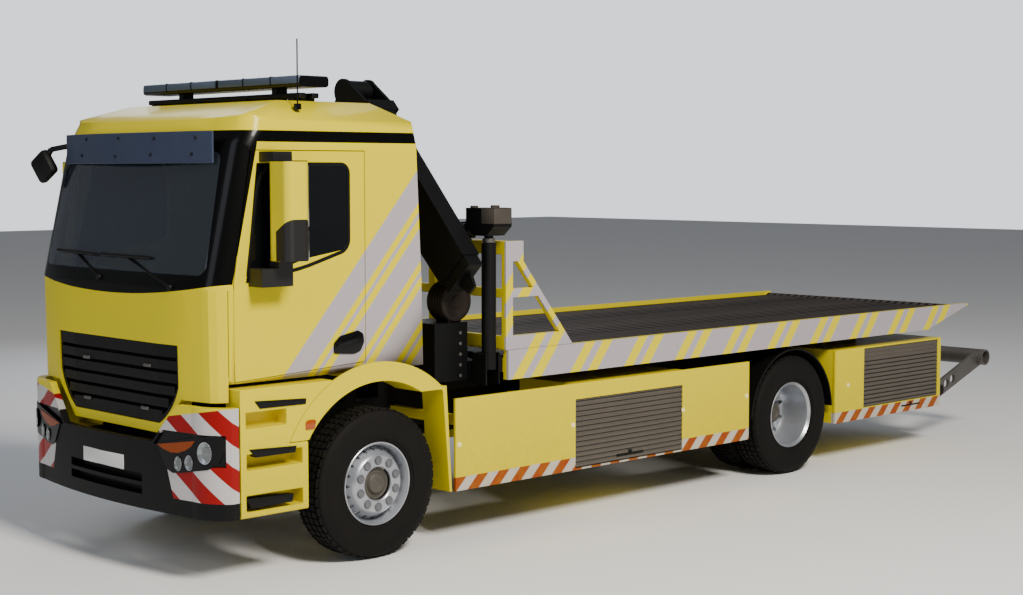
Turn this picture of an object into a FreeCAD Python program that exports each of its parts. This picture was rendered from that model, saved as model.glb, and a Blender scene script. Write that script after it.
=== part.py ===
"""Recovery truck with a sliding bed and a folded loading crane, as a parametric document in millimetres.

Frame: +Z up, the front faces -Y, the vehicle's left side is +X. The origin is on the ground, at the
middle of the vehicle's length and width. Lengths along Y are written from the front axle, and every
piece is then placed by the front axle's own distance from the origin.
"""
import FreeCAD, Part
import math
import os
import Sketcher

SIZES = {
    # overall reach from the front axle, which sets the origin at mid length
    "front_reach": 1460,
    "rear_reach": 8285,
    "wheelbase": 4800,
    "half_width": 1245,
    "cut_overrun": 40,
    "seat_gap": 0.3,
    "panel_gap": 6,
    "moving_gap": 12,
    # tyres and rims
    "tyre_radius": 532,
    "tyre_width": 300,
    "bead_radius": 296,
    "rim_wall": 24,
    "rim_inset": 20,
    "wheel_centre_x": 1085,
    "twin_spacing": 346,
    "disc_thickness": 18,
    "disc_offset_front": 96,
    "hub_radius": 112,
    "hub_cap_reach": 60,
    "hand_hole_width": 26,
    "hand_hole_length": 58,
    "hand_hole_circle": 222,
    "hand_hole_count": 10,
    # steering knuckles and the front axle
    "kingpin_x": 850,
    "kingpin_radius": 25,
    "kingpin_clearance": 0.08,
    "kingpin_eye_radius": 58,
    "kingpin_eye_height": 150,
    "knuckle_lug_height": 46,
    "knuckle_running_gap": 5,
    "spindle_radius": 62,
    "hub_inner_x": 960,
    "axle_beam_depth": 96,
    "axle_beam_height": 110,
    "axle_drop": 92,
    "axle_drop_x": 640,
    "spring_x": 390,
    "spring_width": 74,
    "spring_half_length": 790,
    "spring_leaf_height": 58,
    "spring_rise": 112,
    # rear axle
    "axle_tube_radius": 84,
    "axle_bowl_radius": 205,
    "axle_bowl_width": 300,
    "axle_hub_radius": 118,
    "axle_hub_length": 140,
    # chassis frame
    "rail_outer_x": 430,
    "rail_flange": 80,
    "rail_web": 9,
    "rail_bottom": 750,
    "rail_top": 1000,
    "rail_front": -1150,
    "rail_rear": 7130,
    "cross_member_width": 110,
    "cross_member_height": 150,
    "hanger_width": 60,
    "hanger_length": 90,
    "engine_front": -900,
    "engine_rear": 430,
    "engine_bottom": 650,
    "engine_top": 1290,
    "shaft_radius": 50,
    "shaft_height": 640,
    # front bumper and lamps
    "bumper_bottom": 450,
    "bumper_mid_top": 920,
    "bumper_corner_top": 1186,
    "bumper_mid_half": 585,
    "bumper_shoulder_half": 836,
    "bumper_wall": 50,
    "lip_gap": 45,
    "lip_side_gap": 30,
    "bumper_side_end": -1184,
    "bumper_knee_x": 980,
    "bumper_knee_y": -1372,
    "bumper_corner_radius": 300,
    "bumper_front_radius": 5600,
    "intake_half": 470,
    "intake_bottom": 548,
    "intake_height": 58,
    "intake_pitch": 84,
    "lamp_inner_x": 600,
    "lamp_inner_top_x": 690,
    "lamp_outer_x": 1222,
    "lamp_bottom": 800,
    "lamp_top": 1010,
    "lamp_step_x": 800,
    "lamp_step_bottom": 905,
    "lamp_recess": 16,
    # cab steps
    "step_front": -1172,
    "step_rear": -625,
    "step_bottom": 450,
    "step_top": 1300,
    "step_inner_x": 1075,
    "step_first": 490,
    "step_pitch": 275,
    "step_opening": 105,
    "step_depth": 130,
    "step_margin": 46,
    "step_hanger_height": 80,
    # front fenders
    "arch_inner_radius": 727,
    "arch_outer_radius": 863,
    "arch_skin": 22,
    "arch_inner_x": 955,
    "arch_front_low": 915,
    "arch_rear_low": 1150,
    "arch_bracket": 70,
    "flap_inner_x": 1010,
    "flap_top_y": 612,
    "flap_bottom_y": 652,
    "flap_bottom": 390,
    "flap_thickness": 22,
    # side panels and lockers
    "panel_front": 710,
    "panel_rear": 7220,
    "panel_bottom": 385,
    "panel_top": 1067,
    "panel_skin": 20,
    "locker_inner_x": 640,
    "locker_wall": 12,
    "locker_front_start": 1950,
    "locker_front_end": 3280,
    "shutter_front_start": 1972,
    "shutter_front_end": 3258,
    "shutter_front_bottom": 397,
    "shutter_front_top": 943,
    "locker_rear_start": 5440,
    "shutter_rear_start": 5892,
    "shutter_rear_end": 7166,
    "shutter_rear_bottom": 492,
    "shutter_rear_top": 1053,
    "shutter_thickness": 9,
    "slat_rise": 5,
    "slat_count": 14,
    "arch_gap_front": 4150,
    "arch_gap_rear": 5432,
    "rear_guard_radius": 600,
    "rear_guard_skin": 14,
    "rear_guard_inner_x": 560,
    "rear_guard_bottom": 560,
    "panel_strut_width": 60,
    "panel_strut_height": 70,
    # rear beam and hinged tail bar
    "tail_pivot_y": 7420,
    "tail_pivot_z": 512,
    "tail_tube_radius": 45,
    "tail_spigot_radius": 30,
    "tail_spigot_clearance": 0.4,
    "tail_arm_inner_x": 1080,
    "tail_arm_thickness": 30,
    "tail_cap_radius": 52,
    "tail_cap_thickness": 18,
    "tail_bar_y": 8200,
    "tail_bar_z": 785,
    "tail_bar_radius": 82,
    "tail_bar_bore": 66,
    "tail_bar_half": 1175,
    "tail_arm_eye": 78,
    "tail_hole_radius": 44,
    "tail_hole_first": 150,
    "tail_hole_pitch": 118,
    "tail_hanger_inner_x": 352,
    # cab
    "cab_side_x": 1150,
    "cab_wall": 45,
    "cab_glass": 9,
    "cab_foot": 1330,
    "cab_floor": 42,
    "cab_lip": 940,
    "tilt_pivot_y": -1320,
    "tilt_pivot_z": 650,
    "tilt_eye": 40,
    "tilt_pin": 24,
    "tilt_plate": 24,
    "tilt_crank_x": 434,
    "tilt_lug_x": 404,
    "tilt_bend_front": 180,
    "tilt_bend_high": 228,
    "tilt_throat": 113,
    "tilt_throat_high": 172,
    "tilt_neck_high": 300,
    "tilt_bend_rear": 250,
    "tilt_bend_low": 180,
    "tilt_foot_front": 140,
    "tilt_foot_rear": 330,
    "cab_mount_front": -1120,
    "cab_mount_rear": 330,
    "cab_mount_length": 110,
    "cab_belt": 1960,
    "cab_eave": 2900,
    "cab_shoulder": 3070,
    "cab_crest": 3200,
    "cab_rear_foot": 490,
    "cab_rear_belt": 468,
    "cab_rear_eave": 424,
    "cab_rear_shoulder": 400,
    "cab_rear_crest": 170,
    "cab_nose": -1352,
    "cab_nose_belt": -1366,
    "cab_nose_eave": -1152,
    "cab_nose_shoulder": -1065,
    "cab_nose_crest": -640,
    "cab_shoulder_inset": 24,
    "cab_crest_inset": 210,
    "cab_cheek_y": 170,
    "cab_cheek_x": 130,
    "cab_bend_a": 10,
    "cab_bend_b": 38,
    "cab_bend_c": 80,
    "cab_bend_d": 105,
    "cab_bend_e": 50,
    "cab_bend_f": 13,
    "cab_bow_a": 300,
    "cab_bow_b": 600,
    "cab_bow_rise": 26,
    "rod_sides": 20,
    "rim_sides": 30,
    "tyre_sides": 60,
    "hub_sides": 18,
    "cab_crown": 58,
    "cab_front_seam": -1190,
    "screen_rear": -1040,
    "firewall_front": -1182,
    "firewall_thickness": 26,
    "roof_seam": 2990,
    "hood_top": 1944,
    "front_corner_bottom": 1210,
    "grille_half": 778,
    "grille_foot_half": 560,
    "grille_bottom": 1030,
    "grille_top": 1570,
    "grille_corner": 260,
    "grille_corner_radius": 480,
    "grille_slats": 6,
    "grille_bar": 62,
    "grille_frame": 26,
    "screen_bottom": 2040,
    "screen_top": 2850,
    "screen_foot_half": 1030,
    "screen_head_half": 985,
    "screen_corner": 70,
    # doors
    "door_front": -1148,
    "door_rear": -45,
    "door_sill_front": 1336,
    "door_sill_rear": 1391,
    "door_belt": 1990,
    "door_head_front": -1000,
    "door_head": 2862,
    "window_front_foot": -1049,
    "window_front_head": -955,
    "window_rear": -186,
    "window_sill_front": 1985,
    "window_sill_mid": -560,
    "window_sill_rear": 2182,
    "window_head": 2774,
    "window_corner": 50,
    "hinge_low": 1460,
    "hinge_high": 1860,
    "hinge_height": 80,
    "hinge_depth": 24,
    "hinge_inset": 10,
    "hinge_radius": 5.6,
    # mirrors
    "mirror_inner_x": 1232,
    "mirror_outer_x": 1462,
    "mirror_front": -935,
    "mirror_rear": -745,
    "mirror_bottom": 2135,
    "mirror_top": 2790,
    "mirror_round": 55,
    "mirror_arm": 38,
    "mirror_arm_low": 2782,
    "mirror_arm_top": 2850,
    "mirror_foot": 1965,
    "mirror_foot_height": 120,
    "mirror_arm_y": -1030,
    # cab fittings
    "visor_half": 950,
    "visor_bottom": 2772,
    "visor_top": 2985,
    "visor_thickness": 14,
    "visor_nose": -1240,
    "visor_end": -1162,
    "visor_bracket": 40,
    "visor_bracket_low": 2870,
    "visor_bracket_height": 28,
    "visor_bracket_front": -1190,
    "visor_bracket_rear": -1146,
    "visor_bracket_x": 700,
    "bar_half": 990,
    "bar_bottom": 3295,
    "bar_top": 3370,
    "bar_front": -480,
    "bar_rear": -230,
    "bar_foot_x": 560,
    "bar_foot_width": 60,
    "bar_foot_front": -400,
    "bar_foot_rear": -310,
    "bar_round": 26,
    "antenna_y": -550,
    "antenna_x": 1060,
    "antenna_top": 3610,
    "antenna_radius": 5,
    "antenna_base": 3135,
    "antenna_foot_radius": 26,
    "antenna_foot_height": 40,
    "seat_inner_x": 330,
    "seat_width": 500,
    "seat_front": -430,
    "seat_rear": 110,
    "seat_cushion_top": 1820,
    "seat_back_thickness": 150,
    "seat_back_top": 2560,
    "seat_cushion_height": 150,
    "seat_base_inset": 70,
    "dash_rear": -830,
    "dash_bottom": 1580,
    "dash_top": 1955,
    "dash_half": 1040,
    "dash_slope": 110,
    "steering_x": 560,
    "steering_y": -700,
    "steering_z": 1960,
    "steering_radius": 215,
    "steering_grip": 17,
    "steering_tilt": 35,
    "steering_column_radius": 28,
    "steering_column_length": 300,
    "steering_boss_radius": 60,
    # sliding bed
    "bed_pivot_y": 6950,
    "bed_pivot_z": 1060,
    "bed_pivot_radius": 52,
    "bed_pivot_pin": 32,
    "bed_pin_clearance": 0.4,
    "bed_lug_thickness": 24,
    "bed_lug_reach": 70,
    "tilt_front": 1330,
    "tilt_top": 1150,
    "tilt_cross_width": 120,
    "bed_front": 1226,
    "bed_tip": 7670,
    "bed_kick": 6950,
    "bed_half": 1265,
    "bed_rail_thickness": 55,
    "bed_bottom": 1163,
    "bed_rail_top": 1385,
    "bed_tip_bottom": 1366,
    "bed_floor_top": 1345,
    "bed_floor_plate": 16,
    "bed_floor_rear": 7560,
    "plank_count": 24,
    "plank_groove": 26,
    "plank_height": 20,
    "runner_width": 70,
    "cross_beam_height": 90,
    "cross_beam_width": 80,
    "cross_beam_count": 6,
    # headboard
    "board_front": 1206,
    "board_top": 2200,
    "board_crest_rear": 1390,
    "board_crest_low": 2047,
    "board_foot_rear": 1925,
    "board_plate": 50,
    "board_post": 74,
    "board_brace": 62,
    "board_bar_low": 1777,
    "board_bar_high": 1845,
    "board_sill": 1490,
    "board_beam": 100,
    "board_post_x": 420,
    # loading crane
    "crane_y": 800,
    "valve_inner_x": 620,
    "valve_outer_x": 1040,
    "valve_front": 690,
    "valve_bottom": 1165,
    "valve_top": 1600,
    "column_x": -620,
    "column_width": 300,
    "column_depth": 300,
    "column_head": 190,
    "column_top": 1880,
    "boom_pivot_z": 2050,
    "boom_pin_radius": 40,
    "boom_pin_clearance": 0.4,
    "boom_depth": 200,
    "column_cheek": 34,
    "column_cheek_gap": 6,
    "apex_x": 0,
    "apex_z": 3330,
    "inner_boom_height": 250,
    "knuckle_cheek": 28,
    "knuckle_eye": 100,
    "outer_boom_height": 420,
    "outer_boom_depth": 160,
    "outer_boom_wall": 12,
    "boom_tip_x": 1225,
    "boom_tip_z": 2035,
    "extension_length": 1250,
    "extension_wall": 12,
    "extension_reach": 90,
    "hook_plate": 110,
    # stabilisers
    "leg_y": 1090,
    "leg_x": 1195,
    "leg_radius": 55,
    "leg_pivot_z": 1300,
    "leg_top": 2190,
    "leg_rod_radius": 34,
    "leg_rod_top": 2245,
    "leg_tail": 50,
    "foot_half": 92,
    "foot_half_x": 150,
    "foot_top": 2450,
    "foot_neck": 70,
    "beam_housing": 150,
    "beam_wall": 10,
    "beam_z": 1228,
    "beam_housing_half": 1060,
    "beam_start": 30,
    "beam_end": 1100,
    "ear_thickness": 14,
    "ear_gap": 3,
    "ear_outer": 62,
    "ear_bottom": 1135,
    "ear_top": 1372,
    "leg_pin_radius": 22,
}


class Size:
    """A size from the sheet, or one worked out from such: its present value and its formula."""

    def __init__(self, value, formula):
        self.value = value
        self.formula = formula

    def __add__(self, other):
        other = as_size(other)
        return Size(self.value + other.value, f"({self.formula} + {other.formula})")

    def __sub__(self, other):
        other = as_size(other)
        return Size(self.value - other.value, f"({self.formula} - {other.formula})")

    def __mul__(self, other):
        other = as_size(other)
        return Size(self.value * other.value, f"({self.formula} * {other.formula})")

    def __truediv__(self, other):
        other = as_size(other)
        return Size(self.value / other.value, f"({self.formula} / {other.formula})")

    def __radd__(self, other):
        return as_size(other) + self

    def __rsub__(self, other):
        return as_size(other) - self

    def __rmul__(self, other):
        return as_size(other) * self

    def __neg__(self):
        return Size(-self.value, f"(-1 * {self.formula})")


def as_size(number):
    """A plain number as a size, so that the two mix in sums."""
    if isinstance(number, Size):
        return number
    return Size(float(number), f"({float(number)})")


def root(size):
    """The square root of a size."""
    return Size(math.sqrt(size.value), f"sqrt({size.formula})")


def angle_of(rise, run):
    """The angle in degrees whose tangent is rise over run."""
    return Size(math.degrees(math.atan2(rise.value, run.value)), f"atan2({rise.formula}; {run.formula})")


class SizeSheet:
    """The spreadsheet of driving sizes, each cell reached by its alias."""

    def __init__(self, document, sizes):
        self.cells = document.addObject("Spreadsheet::Sheet", "Sizes")
        for row, (alias, value) in enumerate(sizes.items(), start=1):
            self.cells.set(f"A{row}", alias)
            self.cells.set(f"B{row}", str(value))
            self.cells.setAlias(f"B{row}", alias)
            setattr(self, alias, Size(float(value), f"Sizes.{alias}"))


doc = FreeCAD.newDocument("recovery_truck")
s = SizeSheet(doc, SIZES)
doc.recompute()

origin_shift = (s.front_reach - s.rear_reach) / 2
nodes = []

# Each view names a body's own plane, and the sign of that plane's normal along the padded axis.
VIEWS = {"side": ("YZ_Plane", 1), "plan": ("XY_Plane", 1), "front": ("XZ_Plane", -1)}


def bind(thing, **sizes):
    """Binds the named properties of a document object to sizes."""
    for name, size in sizes.items():
        thing.setExpression(name, as_size(size).formula)


def place(thing, x=0, y=0, z=0):
    """Places a document object, its Y counted from the front axle."""
    thing.setExpression("Placement.Base.x", as_size(x).formula)
    thing.setExpression("Placement.Base.y", (as_size(y) + origin_shift).formula)
    thing.setExpression("Placement.Base.z", as_size(z).formula)


def node(thing, label):
    """Keeps a document object as a finished sub-part under its label."""
    thing.Label = label
    nodes.append(thing)
    return thing


def plane_of(body, view):
    """The origin plane of a body that a view is drawn on."""
    role = VIEWS[view][0]
    return next(part for part in body.Origin.OriginFeatures if part.Role == role)


def sketch_on(body, view, level):
    """A sketch on a body's plane, moved along the axis that the view looks along to a level."""
    sketch = body.newObject("Sketcher::SketchObject", "outline")
    sketch.AttachmentSupport = [(plane_of(body, view), "")]
    sketch.MapMode = "FlatFace"
    offset = as_size(level) * VIEWS[view][1]
    sketch.setExpression("AttachmentOffset.Base.z", offset.formula)
    return sketch


def arc_through(start, end, radius):
    """An arc from start to end; a positive radius bends it left of the way, as seen from its centre."""
    chord = end - start
    half = chord.Length / 2
    reach = math.sqrt(max(radius * radius - half * half, 0.0))
    left = FreeCAD.Vector(-chord.y, chord.x, 0).normalize()
    side = 1 if radius > 0 else -1
    centre = start + chord / 2 + left * (reach * side)
    circle = Part.Circle(centre, FreeCAD.Vector(0, 0, 1), abs(radius))
    first, last = (start, end) if radius > 0 else (end, start)
    first_turn = math.atan2(first.y - centre.y, first.x - centre.x)
    last_turn = math.atan2(last.y - centre.y, last.x - centre.x)
    return Part.ArcOfCircle(circle, first_turn, last_turn)


def draw(sketch, corners):
    """Draws a closed outline through corners and pins each one.

    A corner is (across, up), and (across, up, radius) where an arc arrives at it.
    """
    spots = [FreeCAD.Vector(as_size(c[0]).value, as_size(c[1]).value, 0) for c in corners]
    base = sketch.GeometryCount
    ends = []
    for index, corner in enumerate(corners):
        start = spots[index - 1]
        end = spots[index]
        if len(corner) == 3:
            radius = as_size(corner[2]).value
            sketch.addGeometry(arc_through(start, end, radius), False)
            ends.append((1, 2) if radius > 0 else (2, 1))
        else:
            sketch.addGeometry(Part.LineSegment(start, end), False)
            ends.append((1, 2))
    count = len(corners)
    for index in range(count):
        following = (index + 1) % count
        sketch.addConstraint(Sketcher.Constraint(
            "Coincident", base + index, ends[index][1], base + following, ends[following][0]))
    for index, corner in enumerate(corners):
        point = (base + index, ends[index][1])
        across = sketch.addConstraint(Sketcher.Constraint("DistanceX", -1, 1, *point, spots[index].x))
        up = sketch.addConstraint(Sketcher.Constraint("DistanceY", -1, 1, *point, spots[index].y))
        sketch.setExpression(f"Constraints[{across}]", as_size(corner[0]).formula)
        sketch.setExpression(f"Constraints[{up}]", as_size(corner[1]).formula)
        if len(corner) == 3:
            size = as_size(corner[2])
            size = size if size.value > 0 else -size
            bend = sketch.addConstraint(Sketcher.Constraint("Radius", base + index, size.value))
            sketch.setExpression(f"Constraints[{bend}]", size.formula)


def ring(sketch, across, up, radius):
    """Draws a circle and pins its centre and radius."""
    across, up, radius = as_size(across), as_size(up), as_size(radius)
    middle = FreeCAD.Vector(across.value, up.value, 0)
    index = sketch.addGeometry(Part.Circle(middle, FreeCAD.Vector(0, 0, 1), radius.value), False)
    x = sketch.addConstraint(Sketcher.Constraint("DistanceX", -1, 1, index, 3, across.value))
    y = sketch.addConstraint(Sketcher.Constraint("DistanceY", -1, 1, index, 3, up.value))
    r = sketch.addConstraint(Sketcher.Constraint("Radius", index, radius.value))
    sketch.setExpression(f"Constraints[{x}]", across.formula)
    sketch.setExpression(f"Constraints[{y}]", up.formula)
    sketch.setExpression(f"Constraints[{r}]", radius.formula)


def slab(size_low, size_high):
    """Low and high level of a slab, as sizes."""
    return as_size(size_low), as_size(size_high)


def pad(body, view, low, high, corners=(), rings=()):
    """Adds a prism of an outline, or of rings, between two levels along the view's axis."""
    low, high = slab(low, high)
    sketch = sketch_on(body, view, low if VIEWS[view][1] > 0 else high)
    if corners:
        draw(sketch, corners)
    for circle in rings:
        ring(sketch, *circle)
    feature = body.newObject("PartDesign::Pad", "pad")
    feature.Profile = sketch
    feature.Length = (high - low).value
    bind(feature, Length=high - low)
    return feature


def pocket(body, view, low, high, corners=(), rings=()):
    """Cuts a prism of an outline, or of rings, between two levels along the view's axis."""
    low, high = slab(low, high)
    sketch = sketch_on(body, view, high if VIEWS[view][1] > 0 else low)
    if corners:
        draw(sketch, corners)
    for circle in rings:
        ring(sketch, *circle)
    feature = body.newObject("PartDesign::Pocket", "pocket")
    feature.Profile = sketch
    feature.Length = (high - low).value
    bind(feature, Length=high - low)
    return feature


def new_body(name):
    """An empty body placed at the front axle."""
    body = doc.addObject("PartDesign::Body", name)
    place(body)
    return body


def prism(name, view, low, high, corners=(), rings=()):
    """A body of one padded outline."""
    body = new_body(name)
    pad(body, view, low, high, corners, rings)
    return body


def rectangle(low_across, high_across, low_up, high_up):
    """The four corners of a rectangle."""
    return [(low_across, low_up), (high_across, low_up), (high_across, high_up), (low_across, high_up)]


def block(name, x_low, x_high, y_low, y_high, z_low, z_high):
    """A box between two corners."""
    box = doc.addObject("Part::Box", name)
    bind(box, Length=as_size(x_high) - x_low, Width=as_size(y_high) - y_low, Height=as_size(z_high) - z_low)
    place(box, x_low, y_low, z_low)
    return box


TURNS = {
    "x": FreeCAD.Rotation(FreeCAD.Vector(0, 1, 0), 90),
    "y": FreeCAD.Rotation(FreeCAD.Vector(1, 0, 0), -90),
    "z": FreeCAD.Rotation(),
}


def rod(name, axis, radius, low, high, x=0, y=0, z=0):
    """A many-sided bar along one axis from low to high; the centre's place along that axis is left out."""
    shape = doc.addObject("Part::Prism", name)
    shape.Polygon = int(s.rod_sides.value)
    bind(shape, Polygon=s.rod_sides, Circumradius=radius, Height=as_size(high) - low)
    shape.Placement = FreeCAD.Placement(FreeCAD.Vector(), TURNS[axis])
    at = {"x": x, "y": y, "z": z}
    at[axis] = low
    place(shape, at["x"], at["y"], at["z"])
    return shape


def cylinder(name, axis, radius, low, high, x=0, y=0, z=0):
    """A round cylinder along one axis, for a face that something outside is fitted to."""
    shape = doc.addObject("Part::Cylinder", name)
    bind(shape, Radius=radius, Height=as_size(high) - low)
    shape.Placement = FreeCAD.Placement(FreeCAD.Vector(), TURNS[axis])
    at = {"x": x, "y": y, "z": z}
    at[axis] = low
    place(shape, at["x"], at["y"], at["z"])
    return shape


def facets(radius, sides):
    """Corners of a regular polygon about the sketch's origin."""
    turns = [math.tau * index / sides for index in range(sides)]
    return [(radius * round(math.cos(turn), 9), radius * round(math.sin(turn), 9)) for turn in turns]


def fuse(name, shapes):
    """One solid of several."""
    joined = doc.addObject("Part::MultiFuse", name)
    joined.Shapes = shapes
    return joined


def cut(name, base, tool):
    """A solid less another."""
    left = doc.addObject("Part::Cut", name)
    left.Base = base
    left.Tool = tool
    return left


def common(name, base, tool):
    """What two solids share."""
    shared = doc.addObject("Part::Common", name)
    shared.Base = base
    shared.Tool = tool
    return shared


def mirrored(name, source):
    """The same piece on the vehicle's other side."""
    twin = doc.addObject("Part::Mirroring", name)
    twin.Source = source
    twin.Base = FreeCAD.Vector(0, 0, 0)
    twin.Normal = FreeCAD.Vector(1, 0, 0)
    return twin


def both_sides(name, source):
    """A piece and its mirror image, as one group of solids."""
    pair = doc.addObject("Part::Compound", name)
    pair.Links = [source, mirrored(name + "_right_half", source)]
    return pair


def round_edges(body, feature, radius, chosen):
    """Rounds the edges of a body's feature whose middle a test chooses."""
    doc.recompute()
    names = []
    for index, edge in enumerate(feature.Shape.Edges, start=1):
        middle = edge.valueAt((edge.FirstParameter + edge.LastParameter) / 2)
        ends = edge.Vertexes[-1].Point - edge.Vertexes[0].Point
        if chosen(middle, ends):
            names.append(f"Edge{index}")
    fillet = body.newObject("PartDesign::Fillet", "rounding")
    fillet.Base = (feature, names)
    fillet.Radius = radius.value
    bind(fillet, Radius=radius)
    return fillet


def along(axis):
    """A test for edges that run along one axis."""
    def test(middle, ends):
        parts = {"x": ends.x, "y": ends.y, "z": ends.z}
        return ends.Length > 0 and abs(parts[axis]) > 0.99 * ends.Length
    return test


def make_frame_rails():
    """Two channel rails, their cross members, spring hangers, bed pivot lugs and the tail beam."""
    inner = s.rail_outer_x - s.rail_flange
    section = [
        (inner, s.rail_bottom), (s.rail_outer_x, s.rail_bottom), (s.rail_outer_x, s.rail_top),
        (inner, s.rail_top), (inner, s.rail_top - s.rail_web),
        (s.rail_outer_x - s.rail_web, s.rail_top - s.rail_web),
        (s.rail_outer_x - s.rail_web, s.rail_bottom + s.rail_web), (inner, s.rail_bottom + s.rail_web)]
    rail = prism("rail", "front", s.rail_front, s.rail_rear, section)
    pieces = [rail, mirrored("rail_right", rail)]
    reach = s.rail_outer_x - s.rail_web
    low = s.rail_bottom + s.rail_web
    places = [
        s.rail_front, s.engine_rear + s.cross_member_width, s.locker_front_start, s.locker_front_end,
        s.wheelbase - s.spring_half_length, s.locker_rear_start, s.rail_rear - s.cross_member_width]
    for number, start in enumerate(places):
        pieces.append(block(
            f"cross_member_{number}", -reach, reach, start, start + s.cross_member_width,
            low, low + s.cross_member_height))
    lug_end = s.tilt_lug_x + s.tilt_plate
    tilt_lug = prism("tilt_lug", "side", s.tilt_lug_x, lug_end, [
        (s.tilt_pivot_y, s.tilt_pivot_z - s.tilt_eye), (s.rail_front + s.cut_overrun, s.rail_bottom),
        (s.rail_front + s.cut_overrun, s.rail_top), (s.rail_front, s.rail_top),
        (s.tilt_pivot_y - s.tilt_eye, s.tilt_pivot_z)])
    tilt_pin = cylinder("tilt_pin", "x", s.tilt_pin, s.tilt_lug_x, s.tilt_crank_x + s.tilt_plate + s.panel_gap,
                        y=s.tilt_pivot_y, z=s.tilt_pivot_z)
    bend = s.bumper_front_radius
    knee = s.bumper_knee_x - s.bumper_wall / 3
    edge = s.rail_outer_x
    face = (s.bumper_knee_y + s.bumper_wall + root(bend * bend - knee * knee)
            - root(bend * bend - edge * edge) + s.seat_gap)
    horn = block("bumper_horn", inner, s.rail_outer_x, face, s.rail_front + s.cut_overrun, s.rail_bottom,
                 s.rail_bottom + s.cross_member_height)
    pieces += [horn, mirrored("bumper_horn_right", horn)]
    pieces += [tilt_lug, mirrored("tilt_lug_right", tilt_lug), tilt_pin, mirrored("tilt_pin_right", tilt_pin)]
    for axle_y in (as_size(0), s.wheelbase):
        for end in (-s.spring_half_length, s.spring_half_length):
            middle = axle_y + end
            hanger = block(
                "hanger", s.spring_x - s.hanger_width / 2, s.spring_x + s.hanger_width / 2,
                middle - s.hanger_length / 2, middle + s.hanger_length / 2,
                spring_end_top() + s.seat_gap, s.rail_bottom)
            pieces += [hanger, mirrored("hanger_right", hanger)]
    lug_inner = s.rail_outer_x + s.bed_lug_thickness
    lug = prism(
        "bed_lug", "side", lug_inner, lug_inner + s.bed_lug_thickness,
        [(s.bed_pivot_y - s.bed_lug_reach, s.rail_bottom), (s.bed_pivot_y + s.bed_lug_reach, s.rail_bottom),
         (s.bed_pivot_y + s.bed_lug_reach, s.bed_pivot_z),
         (s.bed_pivot_y - s.bed_lug_reach, s.bed_pivot_z, s.bed_lug_reach + s.seat_gap)])
    pocket(lug, "side", lug_inner - s.cut_overrun, lug_inner + s.bed_lug_thickness + s.cut_overrun,
           rings=[(s.bed_pivot_y, s.bed_pivot_z, s.bed_pivot_pin + s.bed_pin_clearance)])
    spacer = block(
        "bed_lug_spacer", s.rail_outer_x - s.rail_web, lug_inner, s.bed_pivot_y - s.bed_lug_reach,
        s.bed_pivot_y + s.bed_lug_reach, s.rail_bottom, s.rail_top - s.rail_web)
    pieces += [lug, spacer, mirrored("bed_lug_right", lug), mirrored("bed_lug_spacer_right", spacer)]
    hanger_plate = prism(
        "tail_hanger", "side", s.tail_hanger_inner_x, s.rail_outer_x,
        [(s.rail_rear - s.cross_member_width, s.rail_bottom + s.rail_web),
         (s.rail_rear - s.cross_member_width, s.rail_bottom - s.cross_member_height),
         (s.tail_pivot_y - s.tail_tube_radius, s.tail_pivot_z - s.tail_tube_radius),
         (s.tail_pivot_y + s.tail_tube_radius, s.tail_pivot_z - s.tail_tube_radius),
         (s.tail_pivot_y + s.tail_tube_radius, s.tail_pivot_z + s.tail_tube_radius),
         (s.rail_rear, s.rail_top - s.cross_member_height),
         (s.rail_rear - s.rail_web, s.rail_top - s.rail_web)])
    tube_half = s.tail_arm_inner_x - s.moving_gap / 2
    tube = rod("tail_tube", "x", s.tail_tube_radius, -tube_half, tube_half, y=s.tail_pivot_y, z=s.tail_pivot_z)
    arm_outer = s.tail_arm_inner_x + s.tail_arm_thickness
    cap_inner = arm_outer + s.moving_gap / 2
    spigot = rod("tail_spigot", "x", s.tail_spigot_radius, tube_half - s.tail_tube_radius, cap_inner,
                 y=s.tail_pivot_y, z=s.tail_pivot_z)
    cap = rod("tail_cap", "x", s.tail_cap_radius, cap_inner, cap_inner + s.tail_cap_thickness,
              y=s.tail_pivot_y, z=s.tail_pivot_z)
    pieces += [hanger_plate, mirrored("tail_hanger_right", hanger_plate), tube, spigot,
               mirrored("tail_spigot_right", spigot), cap, mirrored("tail_cap_right", cap)]
    return node(fuse("frame", pieces), "frame_rails")


def make_cab_mounts():
    """Four blocks on the rails that the tilting cab rests on."""
    inner = s.rail_outer_x - s.rail_flange
    pieces = []
    for start in (s.cab_mount_front, s.cab_mount_rear):
        mount = block("cab_mount", inner, s.rail_outer_x, start, start + s.cab_mount_length,
                      s.rail_top + s.seat_gap, s.cab_foot - s.seat_gap)
        pieces += [mount, mirrored("cab_mount_right", mount)]
    mounts = doc.addObject("Part::Compound", "cab_mount_set")
    mounts.Links = pieces
    return node(mounts, "cab_mounts")


def spring_end_top():
    """Height of a leaf spring's top at its ends, where the hangers meet it."""
    return s.tyre_radius - s.axle_drop / 2 + s.spring_rise + s.spring_leaf_height


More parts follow.
